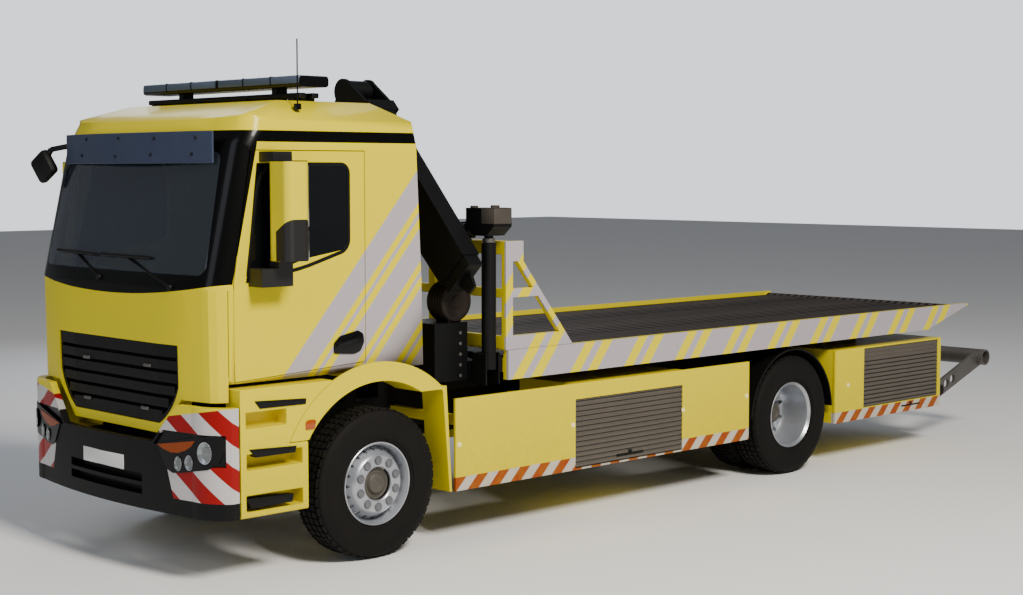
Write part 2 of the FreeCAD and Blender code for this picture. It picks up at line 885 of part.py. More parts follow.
def leaf_spring(name, axle_y, seat):
    """A leaf pack over an axle, bowed up to its ends; the middle sits on the axle's seat."""
    ends_top = spring_end_top()
    leaf = s.spring_leaf_height / 2
    half = s.spring_half_length
    belly = seat + s.spring_leaf_height
    corners = [
        (axle_y - half - s.hanger_length / 2, ends_top - leaf), (axle_y - half / 2, seat + s.spring_rise / 4),
        (axle_y - s.axle_beam_depth, seat), (axle_y + s.axle_beam_depth, seat),
        (axle_y + half / 2, seat + s.spring_rise / 4),
        (axle_y + half + s.hanger_length / 2, ends_top - leaf), (axle_y + half + s.hanger_length / 2, ends_top),
        (axle_y + half - s.hanger_length / 2, ends_top), (axle_y + half / 2, belly + s.spring_rise / 4),
        (axle_y, belly), (axle_y - half / 2, belly + s.spring_rise / 4),
        (axle_y - half + s.hanger_length / 2, ends_top), (axle_y - half - s.hanger_length / 2, ends_top)]
    return prism(name, "side", s.spring_x - s.spring_width / 2, s.spring_x + s.spring_width / 2, corners)


def make_front_axle():
    """Dropped axle beam with kingpin eyes and its leaf springs."""
    top_drop = s.tyre_radius - s.axle_drop + s.axle_beam_height / 2
    low_drop = top_drop - s.axle_beam_height
    top_end = s.tyre_radius + s.axle_beam_height / 2
    low_end = top_end - s.axle_beam_height
    end = s.kingpin_x
    neck = end - s.kingpin_eye_radius * 2
    beam = prism(
        "axle_beam", "front", -s.axle_beam_depth / 2, s.axle_beam_depth / 2,
        [(-end, low_end), (-neck, low_end), (-s.axle_drop_x, low_drop), (s.axle_drop_x, low_drop),
         (neck, low_end), (end, low_end), (end, top_end), (s.axle_drop_x, top_drop),
         (-s.axle_drop_x, top_drop), (-end, top_end)])
    eye_low = s.tyre_radius - s.kingpin_eye_height / 2
    eye_high = s.tyre_radius + s.kingpin_eye_height / 2
    bore = s.kingpin_radius + s.kingpin_clearance
    for side in (-1, 1):
        pad(beam, "plan", eye_low, eye_high, rings=[(s.kingpin_x * side, 0, s.kingpin_eye_radius)])
    for side in (-1, 1):
        pocket(beam, "plan", eye_low - s.cut_overrun, eye_high + s.cut_overrun,
               rings=[(s.kingpin_x * side, 0, bore)])
    spring = leaf_spring("front_spring", as_size(0), top_drop)
    return node(fuse("front_axle_set", [beam, spring, mirrored("front_spring_right", spring)]), "front_axle")


def rear_face():
    """Place along the axle of the outer face of the twin rear rims' shared disc."""
    return s.wheel_centre_x - s.twin_spacing / 2 + s.disc_thickness


def make_rear_axle():
    """Banjo axle with its leaf springs and hub carriers."""
    at = {"y": s.wheelbase, "z": s.tyre_radius}
    hub_end = rear_face() - s.disc_thickness * 2 - s.seat_gap
    hub_start = hub_end - s.axle_hub_length
    tube = rod("rear_tube", "x", s.axle_tube_radius, -hub_start, hub_start, **at)
    bowl = rod("axle_bowl", "x", s.axle_bowl_radius, -s.axle_bowl_width / 2, s.axle_bowl_width / 2, **at)
    hub = rod("axle_hub", "x", s.axle_hub_radius, hub_start, hub_end, **at)
    seat = s.tyre_radius + s.axle_tube_radius / 2
    spring = leaf_spring("rear_spring", s.wheelbase, seat)
    return node(fuse("rear_axle_set", [
        tube, bowl, hub, mirrored("axle_hub_right", hub), spring, mirrored("rear_spring_right", spring)]),
        "rear_axle")


def make_engine():
    """The engine as one plain block, with the drive shaft that leaves it."""
    reach = s.rail_outer_x - s.rail_flange - s.seat_gap
    engine = block("engine", -reach, reach, s.engine_front, s.engine_rear, s.engine_bottom, s.engine_top)
    shaft = rod("drive_shaft", "y", s.shaft_radius, s.engine_rear,
                s.wheelbase - s.axle_bowl_radius - s.seat_gap, z=s.shaft_height)
    return node(fuse("engine_and_shaft", [engine, shaft]), "engine_block")


def bumper_outline(inset):
    """Plan outline of the bumper, wrapped round to the steps, moved inwards by an inset."""
    side = s.half_width - inset
    knee_x = s.bumper_knee_x - inset / 3
    knee_y = s.bumper_knee_y + inset
    back = s.bumper_side_end
    curve = s.bumper_corner_radius - inset
    corner_y = knee_y + (s.half_width - s.bumper_knee_x) / 2
    return [
        (side, back), (side, corner_y), (knee_x, knee_y, -curve), (-knee_x, knee_y, -s.bumper_front_radius),
        (-side, corner_y, -curve), (-side, back)]


def make_front():
    """Bumper with raised corners, intake slots and lamp recesses, and the lamps that fill them."""
    top = s.bumper_corner_top
    over = s.cut_overrun
    reach = -s.front_reach - over
    shell = prism("bumper_shell", "plan", s.bumper_bottom, top, bumper_outline(as_size(0)))
    pocket(shell, "plan", s.bumper_bottom - over, top + over, bumper_outline(s.bumper_wall))
    pocket(shell, "front", reach, s.bumper_side_end + over, [
        (-s.bumper_shoulder_half, top + over), (-s.bumper_shoulder_half, top),
        (-s.bumper_mid_half, s.bumper_mid_top), (s.bumper_mid_half, s.bumper_mid_top),
        (s.bumper_shoulder_half, top), (s.bumper_shoulder_half, top + over)])
    for number in range(2):
        low = s.intake_bottom + s.intake_pitch * number
        pocket(shell, "front", reach, -s.front_reach + s.bumper_wall + over,
               rectangle(-s.intake_half, s.intake_half, low, low + s.intake_height))
    window = prism("lamp_window", "front", reach, s.bumper_side_end - over, lamp_outline(as_size(0)))
    windows = both_sides("lamp_windows", window)
    bumper = cut("bumper_open", shell, windows)
    body = prism("lamp_body", "plan", s.lamp_bottom, s.lamp_top, bumper_outline(s.lamp_recess))
    pocket(body, "plan", s.lamp_bottom - over, s.lamp_top + over, bumper_outline(s.bumper_wall))
    filling = prism("lamp_filling", "front", reach, s.bumper_side_end - over, lamp_outline(s.seat_gap))
    lamp = common("lamp", body, filling)
    node(bumper, "front_bumper")
    node(both_sides("lamps", lamp), "headlamps")


def lamp_outline(inset):
    """Front outline of a lamp's place in the bumper, drawn in by an inset."""
    return [
        (s.lamp_step_x + inset, s.lamp_bottom + inset), (s.lamp_outer_x - inset, s.lamp_bottom + inset),
        (s.lamp_outer_x - inset, s.lamp_top - inset), (s.lamp_inner_top_x + inset, s.lamp_top - inset),
        (s.lamp_inner_x + inset, s.lamp_step_bottom + inset),
        (s.lamp_step_x + inset, s.lamp_step_bottom + inset)]


def make_steps():
    """Step boxes under the doors, each with three treads let into it."""
    round_arch = s.arch_outer_radius + s.seat_gap
    shoulder = s.arch_front_low - s.panel_gap
    low_rise = shoulder - s.tyre_radius
    high_rise = s.step_top - s.tyre_radius
    low_y = -root(round_arch * round_arch - low_rise * low_rise)
    high_y = -root(round_arch * round_arch - high_rise * high_rise)
    box = prism("step_box", "side", s.step_inner_x, s.half_width, [
        (s.step_front, s.step_bottom), (s.step_rear, s.step_bottom), (s.step_rear, shoulder),
        (low_y, shoulder), (high_y, s.step_top, -round_arch), (s.step_front, s.step_top)])
    for number in range(3):
        low = s.step_first + s.step_pitch * number
        pocket(box, "side", s.half_width - s.step_depth, s.half_width + s.cut_overrun, rectangle(
            s.step_front + s.step_margin, s.step_rear - s.step_margin - max(number - 1, 0) * s.step_depth,
            low, low + s.step_opening))
    arm_front = s.step_front + s.arch_bracket * 2
    arm = block("step_arm", s.rail_outer_x + s.seat_gap, s.step_inner_x, arm_front, arm_front + s.arch_bracket,
                s.rail_bottom, s.rail_bottom + s.step_hanger_height)
    step = fuse("step_set", [box, arm])
    return node(both_sides("steps", step), "cab_steps")


def make_fenders():
    """Front fenders: a flared face round the wheel, its liner and the rear mud flap."""
    centre = (0, s.tyre_radius)
    fender = new_body("fender")
    pad(fender, "side", s.half_width - s.arch_skin, s.half_width, rings=[(*centre, s.arch_outer_radius)])
    pad(fender, "side", s.arch_inner_x, s.half_width - s.arch_skin,
        rings=[(*centre, s.arch_inner_radius + s.arch_skin)])
    over = s.cut_overrun
    low_x = s.arch_inner_x - over
    high_x = s.half_width + over
    pocket(fender, "side", low_x, high_x, rings=[(*centre, s.arch_inner_radius)])
    wide = s.arch_outer_radius + over
    floor = s.tyre_radius - wide
    pocket(fender, "side", low_x, high_x, [
        (-wide, floor), (wide, floor), (wide, s.arch_rear_low), (0, s.arch_rear_low),
        (0, s.arch_front_low), (-wide, s.arch_front_low)])
    flap = prism("mud_flap", "side", s.flap_inner_x, s.half_width, [
        (s.flap_top_y - s.flap_thickness, s.arch_rear_low - s.arch_skin), (s.flap_bottom_y, s.flap_bottom),
        (s.flap_bottom_y + s.flap_thickness, s.flap_bottom),
        (s.flap_top_y + s.flap_thickness / 2, s.arch_rear_low + s.arch_skin),
        (s.flap_top_y - s.flap_thickness * 2, s.arch_rear_low + s.arch_skin)])
    bracket = block("fender_arm", s.rail_outer_x + s.seat_gap, s.arch_inner_x + s.arch_skin, -s.arch_bracket / 2,
                    s.arch_bracket / 2, s.tyre_radius + s.arch_inner_radius,
                    s.tyre_radius + s.arch_inner_radius + s.arch_skin)
    return node(both_sides("fenders", fuse("fender_set", [fender, flap, bracket])), "front_fenders")


def make_side_panels():
    """Side panels with shutter openings and the rear wheel's gap, and the lockers behind them."""
    over = s.cut_overrun
    skin_x = s.half_width - s.panel_skin
    skin = prism("panel_skin", "side", skin_x, s.half_width,
                 rectangle(s.panel_front, s.panel_rear, s.panel_bottom, s.panel_top))
    front = (s.locker_front_start, s.locker_front_end)
    rear = (s.locker_rear_start, s.panel_rear)
    pieces = [skin]
    wall = s.locker_wall
    for number, (start, end) in enumerate((front, rear)):
        tub = prism(f"locker_{number}", "side", s.locker_inner_x, skin_x,
                    rectangle(start, end, s.panel_bottom, s.panel_top))
        pocket(tub, "side", s.locker_inner_x + wall, s.half_width + over,
               rectangle(start + wall, end - wall, s.panel_bottom + wall, s.panel_top - wall))
        for place_y in (start + s.panel_strut_width, end - s.panel_strut_width * 2):
            pieces.append(block(
                "locker_strut", s.rail_outer_x + s.seat_gap, s.locker_inner_x + wall, place_y,
                place_y + s.panel_strut_width, s.rail_top - s.panel_strut_height * 2,
                s.rail_top - s.panel_strut_height))
        pieces.append(tub)
    for place_y in (s.panel_front + s.panel_strut_width, s.arch_gap_front - s.panel_strut_width * 2):
        pieces.append(block(
            "panel_strut", s.rail_outer_x + s.seat_gap, skin_x, place_y, place_y + s.panel_strut_width,
            s.rail_top - s.panel_strut_height * 2, s.rail_top - s.panel_strut_height))
    whole = fuse("side_set", pieces)
    openings = new_body("side_openings")
    pad(openings, "side", skin_x - over, s.half_width + over, shutter_outline(0, as_size(0)))
    pad(openings, "side", skin_x - over, s.half_width + over, shutter_outline(1, as_size(0)))
    pad(openings, "side", skin_x - over, s.half_width + over, rectangle(
        s.arch_gap_front, s.arch_gap_rear, s.panel_bottom - over, s.panel_top + over))
    return node(both_sides("side_panels_pair", cut("side_open", whole, openings)), "side_panels")


def shutter_outline(number, inset):
    """Side outline of the front or rear shutter's opening, drawn in by an inset."""
    start, end, low, high = (
        (s.shutter_front_start, s.shutter_front_end, s.shutter_front_bottom, s.shutter_front_top),
        (s.shutter_rear_start, s.shutter_rear_end, s.shutter_rear_bottom, s.shutter_rear_top))[number]
    return rectangle(start + inset, end - inset, low + inset, high - inset)


def make_shutters():
    """Slatted roller shutters: each slat is a shallow ridge on a thin sheet."""
    pieces = []
    for number, start, end, low, high in (
            (0, s.shutter_front_start, s.shutter_front_end, s.shutter_front_bottom, s.shutter_front_top),
            (1, s.shutter_rear_start, s.shutter_rear_end, s.shutter_rear_bottom, s.shutter_rear_top)):
        face = s.half_width - s.panel_skin / 2
        back = face - s.shutter_thickness
        pitch = (high - low - s.seat_gap * 2) / s.slat_count
        base = low + s.seat_gap
        corners = [(back, high - s.seat_gap), (back, base)]
        for slat in range(int(s.slat_count.value)):
            foot = base + pitch * slat
            corners += [(face, foot), (face + s.slat_rise, foot + pitch / 4),
                        (face + s.slat_rise, foot + pitch * 3 / 4)]
        corners.append((face, high - s.seat_gap))
        pieces.append(prism(f"shutter_{number}", "front", start + s.seat_gap, end - s.seat_gap, corners))
    group = fuse("shutters_left", pieces)
    return node(both_sides("shutters", group), "roller_shutters")


def make_rear_guards():
    """Half-round guards over the twin rear wheels."""
    centre = (s.wheelbase, s.tyre_radius)
    guard = new_body("rear_guard")
    outer_x = s.half_width - s.panel_skin / 2
    pad(guard, "side", s.rear_guard_inner_x, outer_x, rings=[(*centre, s.rear_guard_radius)])
    over = s.cut_overrun
    pocket(guard, "side", s.rear_guard_inner_x - over, outer_x + over,
           rings=[(*centre, s.rear_guard_radius - s.rear_guard_skin)])
    wide = s.rear_guard_radius + over
    pocket(guard, "side", s.rear_guard_inner_x - over, outer_x + over, rectangle(
        s.wheelbase - wide, s.wheelbase + wide, s.tyre_radius - wide, s.rear_guard_bottom))
    post_low = s.tyre_radius + s.rear_guard_radius - s.rear_guard_skin
    arm = block("guard_arm", s.rail_outer_x + s.seat_gap, s.rear_guard_inner_x + s.rear_guard_skin,
                s.wheelbase - s.panel_strut_width / 2, s.wheelbase + s.panel_strut_width / 2,
                s.rail_top - s.panel_strut_height, post_low + s.rear_guard_skin / 2)
    inner = block("guard_post", s.rear_guard_inner_x, s.rear_guard_inner_x + s.rear_guard_skin,
                  s.wheelbase - s.panel_strut_width / 2, s.wheelbase + s.panel_strut_width / 2,
                  s.rail_top - s.panel_strut_height, post_low + s.rear_guard_skin / 2)
    return node(both_sides("rear_guards_pair", fuse("guard_set", [guard, arm, inner])), "rear_mudguards")


def make_tail_bar():
    """The tail bar: two arms with round lightening holes that carry a cross tube."""
    run = s.tail_bar_y - s.tail_pivot_y
    rise = s.tail_bar_z - s.tail_pivot_z
    length = root(run * run + rise * rise)
    across_y = rise / length
    across_z = run / length
    eye = s.tail_arm_eye
    end = s.tail_bar_radius
    arm = new_body("tail_arm")
    low_x = s.tail_arm_inner_x
    high_x = s.tail_arm_inner_x + s.tail_arm_thickness
    pad(arm, "side", low_x, high_x, rings=[(s.tail_pivot_y, s.tail_pivot_z, eye)])
    pad(arm, "side", low_x, high_x, [
        (s.tail_pivot_y + across_y * eye, s.tail_pivot_z - across_z * eye),
        (s.tail_bar_y + across_y * end, s.tail_bar_z - across_z * end),
        (s.tail_bar_y - across_y * end, s.tail_bar_z + across_z * end),
        (s.tail_pivot_y - across_y * eye, s.tail_pivot_z + across_z * eye)])
    holes = [(s.tail_pivot_y, s.tail_pivot_z, s.tail_spigot_radius + s.tail_spigot_clearance)]
    for number in range(2):
        reach = (s.tail_hole_first + s.tail_hole_pitch * number) / length
        holes.append((s.tail_pivot_y + run * reach, s.tail_pivot_z + rise * reach, s.tail_hole_radius))
    over = s.cut_overrun
    pocket(arm, "side", low_x - over, high_x + over, rings=holes)
    pipe = cylinder("tail_bar_tube", "x", s.tail_bar_radius, -s.tail_bar_half, s.tail_bar_half,
               y=s.tail_bar_y, z=s.tail_bar_z)
    bore = cylinder("tail_bar_bore", "x", s.tail_bar_bore, -s.tail_bar_half - over, s.tail_bar_half + over,
               y=s.tail_bar_y, z=s.tail_bar_z)
    whole = fuse("tail_bar_set", [arm, mirrored("tail_arm_right", arm), pipe])
    return node(cut("tail_bar_open", whole, bore), "tail_bar")


def cab_station(inset, level):
    """Plan outline of the cab at a named level, drawn in by an inset."""
    tuck, nose, rear = {
        "foot": (0, s.cab_nose, s.cab_rear_foot),
        "belt": (0, s.cab_nose_belt, s.cab_rear_belt),
        "eave": (0, s.cab_nose_eave, s.cab_rear_eave),
        "shoulder": (s.cab_shoulder_inset, s.cab_nose_shoulder, s.cab_rear_shoulder)}[level]
    side = s.cab_side_x - tuck - inset
    front = nose + inset
    bend = [
        (0, s.cab_crown + s.cab_cheek_y), (s.cab_bend_a, s.cab_crown + s.cab_bend_d),
        (s.cab_bend_b, s.cab_crown + s.cab_bend_e), (s.cab_bend_c, s.cab_crown + s.cab_bend_f),
        (s.cab_cheek_x, s.cab_crown), (s.cab_bow_a, s.cab_bow_rise), (s.cab_bow_b, 0)]
    left = [(side - across, front + back) for across, back in bend]
    right = [(across - side, front + back) for across, back in reversed(bend)]
    return [(-side, rear - inset), (side, rear - inset)] + left + right


def cab_loft(name, inset, foot, crest):
    """The cab's envelope drawn in by an inset, lofted through its levels from a foot to a crest."""
    body = new_body(name)
    levels = [("foot", as_size(foot)), ("belt", s.cab_belt), ("eave", s.cab_eave),
              ("shoulder", s.cab_shoulder), ("shoulder", as_size(crest))]
    sketches = []
    for level, height in levels:
        sketch = sketch_on(body, "plan", height)
        draw(sketch, cab_station(inset, level))
        sketches.append(sketch)
    loft = body.newObject("PartDesign::AdditiveLoft", "loft")
    loft.Profile = sketches[0]
    loft.Sections = sketches[1:]
    loft.Ruled = True
    low = as_size(foot) - s.cut_overrun
    wide = s.half_width
    eave = s.cab_side_x - s.cab_shoulder_inset - inset
    crown = s.cab_side_x - s.cab_crest_inset - inset
    slopes = prism(name + "_side_slopes", "front", -s.front_reach, s.panel_front, [
        (-wide, low), (wide, low), (wide, s.cab_shoulder), (eave, s.cab_shoulder), (crown, crest),
        (-crown, crest), (-eave, s.cab_shoulder), (-wide, s.cab_shoulder)])
    nose = s.cab_nose_shoulder + inset
    tail = s.cab_rear_shoulder - inset
    fall = prism(name + "_end_slopes", "side", -wide, wide, [
        (-s.front_reach, low), (s.panel_front, low), (s.panel_front, s.cab_shoulder), (tail, s.cab_shoulder),
        (s.cab_rear_crest - inset, crest), (s.cab_nose_crest + inset, crest), (nose, s.cab_shoulder),
        (-s.front_reach, s.cab_shoulder)])
    return common(name + "_capped", common(name + "_sloped", body, slopes), fall)


def front_region(name, corners, rear):
    """A prism of a front outline that reaches from ahead of the cab to a rear limit."""
    return prism(name, "front", -s.front_reach - s.cut_overrun, rear, corners)


def hood_outline(inset):
    """Front outline of the panel below the windscreen, with its low lip between the bumper's corners."""
    side = s.cab_side_x + s.cut_overrun
    low = s.front_corner_bottom
    lip = s.bumper_mid_half - s.lip_side_gap
    shoulder = s.bumper_shoulder_half - s.lip_side_gap
    foot = s.bumper_mid_top + s.lip_gap
    return [
        (-side, low), (-shoulder, low), (-lip, foot), (lip, foot), (shoulder, low), (side, low),
        (side, s.hood_top - inset), (-side, s.hood_top - inset)]


def grille_outline(inset):
    """Front outline of the grille's opening with round lower corners, drawn in by an inset."""
    half = s.grille_half - inset
    foot = s.grille_foot_half - inset
    low = s.grille_bottom + inset
    shoulder = s.grille_bottom + s.grille_corner
    bend = s.grille_corner_radius
    return [
        (-foot, low, bend), (foot, low), (half, shoulder, bend), (half, s.grille_top - inset),
        (-half, s.grille_top - inset), (-half, shoulder)]


def screen_outline(inset):
    """Front outline of the windscreen, drawn in by an inset."""
    foot = s.screen_foot_half - inset
    head = s.screen_head_half - inset
    low = s.screen_bottom + inset
    high = s.screen_top - inset
    bend = s.screen_corner
    return [
        (foot - bend, low), (foot, low + bend, bend), (head, high - bend), (head - bend, high, bend),
        (bend - head, high), (-head, high - bend, bend), (-foot, low + bend), (bend - foot, low, bend)]


def door_outline(inset):
    """Side outline of a door, drawn in by an inset."""
    return [
        (s.door_front + inset, s.door_sill_front + inset), (s.door_rear - inset, s.door_sill_rear + inset),
        (s.door_rear - inset, s.door_head - inset), (s.door_head_front + inset, s.door_head - inset),
        (s.door_front + inset, s.door_belt)]


def window_outline(inset):
    """Side outline of a door's window with its stepped sill, drawn in by an inset."""
    bend = s.window_corner
    front_foot = s.window_front_foot + inset
    front_head = s.window_front_head + inset
    rear = s.window_rear - inset
    low = s.window_sill_rear + inset
    high = s.window_head - inset
    return [
        (front_foot, s.window_sill_front + inset), (s.window_sill_mid, low - bend), (rear - bend, low),
        (rear, low + bend, bend), (rear, high - bend), (rear - bend, high, bend),
        (front_head, high)]


def tilt_crank_outline():
    """Side outline of a cranked plate from the cab's floor to its tilt pivot, clear of the bumper."""
    y = s.tilt_pivot_y
    z = s.tilt_pivot_z
    return [
        (y - s.tilt_eye, z), (y + s.tilt_eye * 0.8, z - s.tilt_eye * 0.6), (y + s.tilt_bend_rear, z + s.tilt_bend_low),
        (y + s.tilt_foot_rear, s.cab_foot + s.cab_floor / 2), (y + s.tilt_foot_front, s.cab_foot + s.cab_floor / 2),
        (y + s.tilt_foot_front, z + s.tilt_neck_high), (y + s.tilt_bend_front, z + s.tilt_bend_high),
        (y + s.tilt_throat, z + s.tilt_throat_high)]


def make_cab():
    """The cab: shell, roof, front panel, grille, windscreen, and the doors with their panes."""
    over = s.cut_overrun
    outer = cab_loft("cab_outer", as_size(0), s.cab_lip, s.cab_crest)
    inner = cab_loft("cab_inner", s.cab_wall, s.cab_lip - over, s.cab_crest - s.cab_wall)
    pane = cab_loft("cab_pane", s.cab_glass, s.cab_lip - over, s.cab_crest - s.cab_glass)
    hollow = cut("cab_hollow", outer, inner)
    skin = cut("cab_skin", outer, pane)
    reach = s.half_width + over
    below = block("below_cab", -reach, reach, -s.front_reach, s.panel_front, s.cab_lip - over, s.cab_foot)
    above = block("above_seam", -reach, reach, -s.front_reach, s.panel_front, s.roof_seam,
                  s.cab_crest + over)
    crank = prism("tilt_crank", "side", s.tilt_crank_x, s.tilt_crank_x + s.tilt_plate, tilt_crank_outline())
    pad(crank, "side", s.tilt_crank_x, s.tilt_crank_x + s.tilt_plate,
        rings=[(s.tilt_pivot_y, s.tilt_pivot_z, s.tilt_eye)])
    pocket(crank, "side", s.tilt_crank_x - over, s.tilt_crank_x + s.tilt_plate + over,
           rings=[(s.tilt_pivot_y, s.tilt_pivot_z, s.tilt_pin + s.tail_spigot_clearance)])
    floor = common("cab_floor", outer, block(
        "floor_slab", -reach, reach, s.cab_front_seam, s.panel_front, s.cab_foot, s.cab_foot + s.cab_floor))
    firewall = common("cab_firewall", outer, block(
        "firewall_slab", -reach, reach, s.firewall_front, s.firewall_front + s.firewall_thickness,
        s.cab_foot, s.cab_belt + s.cab_wall))
    low_front = block("low_front", -reach, reach, -s.front_reach, s.cab_front_seam + s.panel_gap, s.cab_foot - over,
                      s.hood_top)
    screen_space = front_region("screen_space", screen_outline(as_size(0)), s.screen_rear)
    doorway = prism("doorway", "side", s.cab_side_x - s.cab_wall - over, reach, door_outline(as_size(0)))
    doorways = both_sides("doorways", doorway)
    shell_base = cut("cab_lower", cut("cab_upper", hollow, below), low_front)
    seam = block("seam", -reach, reach, -s.front_reach, s.panel_front, s.roof_seam, s.cab_crest + over)
    shell_walls = cut("cab_walls", cut("cab_walls_open", shell_base, seam), screen_space)
    shell = cut("cab_shell_open", fuse("cab_shell_whole", [
        shell_walls, floor, firewall, crank, mirrored("tilt_crank_right", crank)]), doorways)
    node(shell, "cab_shell")
    roof = common("cab_roof_cap", hollow, above)
    roof_open = cut("cab_roof_gap", roof, block(
        "roof_gap", -reach, reach, -s.front_reach, s.panel_front, s.roof_seam - over, s.roof_seam + s.seat_gap))
    node(roof_open, "cab_roof")
    hood_region = front_region("hood_region", hood_outline(as_size(0)), s.cab_front_seam)
    hood_front = block("hood_front", -reach, reach, -s.front_reach, s.firewall_front - s.seat_gap, s.cab_lip - over,
                       s.hood_top)
    grille_hole = front_region("grille_hole", grille_outline(as_size(0)), s.cab_front_seam)
    hood = cut("front_panel_open", common("front_panel_whole", common(
        "front_band", hollow, hood_region), hood_front), grille_hole)
    node(hood, "front_panel")
    grille_band = cut("grille_band", pane, inner)
    frame = new_body("grille_bars")
    ahead = -s.front_reach - over
    behind = s.cab_front_seam
    pad(frame, "front", ahead, behind, grille_outline(s.seat_gap))
    pocket(frame, "front", ahead - over, behind + over, grille_outline(s.grille_frame))
    pitch = (s.grille_top - s.grille_bottom - s.grille_frame) / s.grille_slats
    for number in range(int(s.grille_slats.value)):
        low = s.grille_bottom + s.grille_frame + pitch * number
        rise = low - s.grille_bottom
        full = rise.value > s.grille_corner.value
        spread = (s.grille_half - s.grille_foot_half) / s.grille_corner
        wide = s.grille_half - s.grille_frame / 2 if full else s.grille_foot_half + rise * spread
        pad(frame, "front", ahead, behind, rectangle(-wide, wide, low, low + s.grille_bar))
    node(common("grille_set", grille_band, frame), "grille")
    glass_region = front_region("glass_region", screen_outline(s.seat_gap), s.screen_rear)
    node(common("windscreen_pane", skin, glass_region), "windscreen")
    door_region = prism("door_region", "side", s.cab_side_x - s.cab_wall - over, reach,
                        door_outline(s.panel_gap))
    window = prism("window_hole", "side", s.cab_side_x - s.cab_wall - over, reach,
                   window_outline(as_size(0)))
    door_panel = cut("door_open", common("door_panel", hollow, door_region), window)
    hinge_x = s.cab_side_x - s.hinge_inset
    hinges = [block(
        "door_hinge", hinge_x - s.hinge_depth, hinge_x, s.door_front + s.seat_gap,
        s.door_front + s.panel_gap + s.hinge_depth, level, level + s.hinge_height)
        for level in (s.hinge_low, s.hinge_high)]
    barrel = cylinder("door_barrel", "z", s.hinge_radius, s.hinge_low, s.hinge_high + s.hinge_height,
                      x=s.cab_side_x, y=s.door_front + s.panel_gap)
    door = fuse("door", [door_panel, barrel] + hinges)
    glass = prism("door_pane", "side", s.cab_side_x - s.cab_glass, s.cab_side_x, window_outline(s.seat_gap))
    mirror = make_mirror()
    for side in ("left", "right"):
        for label, piece in (("door_", door), ("door_glass_", glass), ("mirror_", mirror)):
            if side == "left":
                node(piece, label + side)
            else:
                node(mirrored(label + "twin", piece), label + side)


def make_mirror():
    """A tall mirror housing on an upper and a lower arm that stand on the door."""
    housing = prism("mirror_housing", "plan", s.mirror_bottom, s.mirror_top,
                    rectangle(s.mirror_inner_x, s.mirror_outer_x, s.mirror_front, s.mirror_rear))
    round_edges(housing, housing.Tip, s.mirror_round, along("z"))
    door_x = s.cab_side_x + s.seat_gap
    arm_reach = s.mirror_inner_x + s.mirror_arm * 2
    arm_rear = s.mirror_rear - s.mirror_arm
    top_arm = block("mirror_top_arm", door_x, arm_reach, s.mirror_front, arm_rear, s.mirror_arm_low,
                    s.mirror_arm_top)
    foot = block("mirror_foot_arm", door_x, arm_reach, s.mirror_arm_y, arm_rear,
                 s.mirror_foot, s.mirror_foot + s.mirror_foot_height)
    neck = block("mirror_neck", s.mirror_inner_x + s.mirror_arm / 2, arm_reach, s.mirror_front + s.mirror_arm,
                 arm_rear, s.mirror_foot, s.mirror_bottom + s.mirror_arm)
    return fuse("mirror", [housing, top_arm, foot, neck])


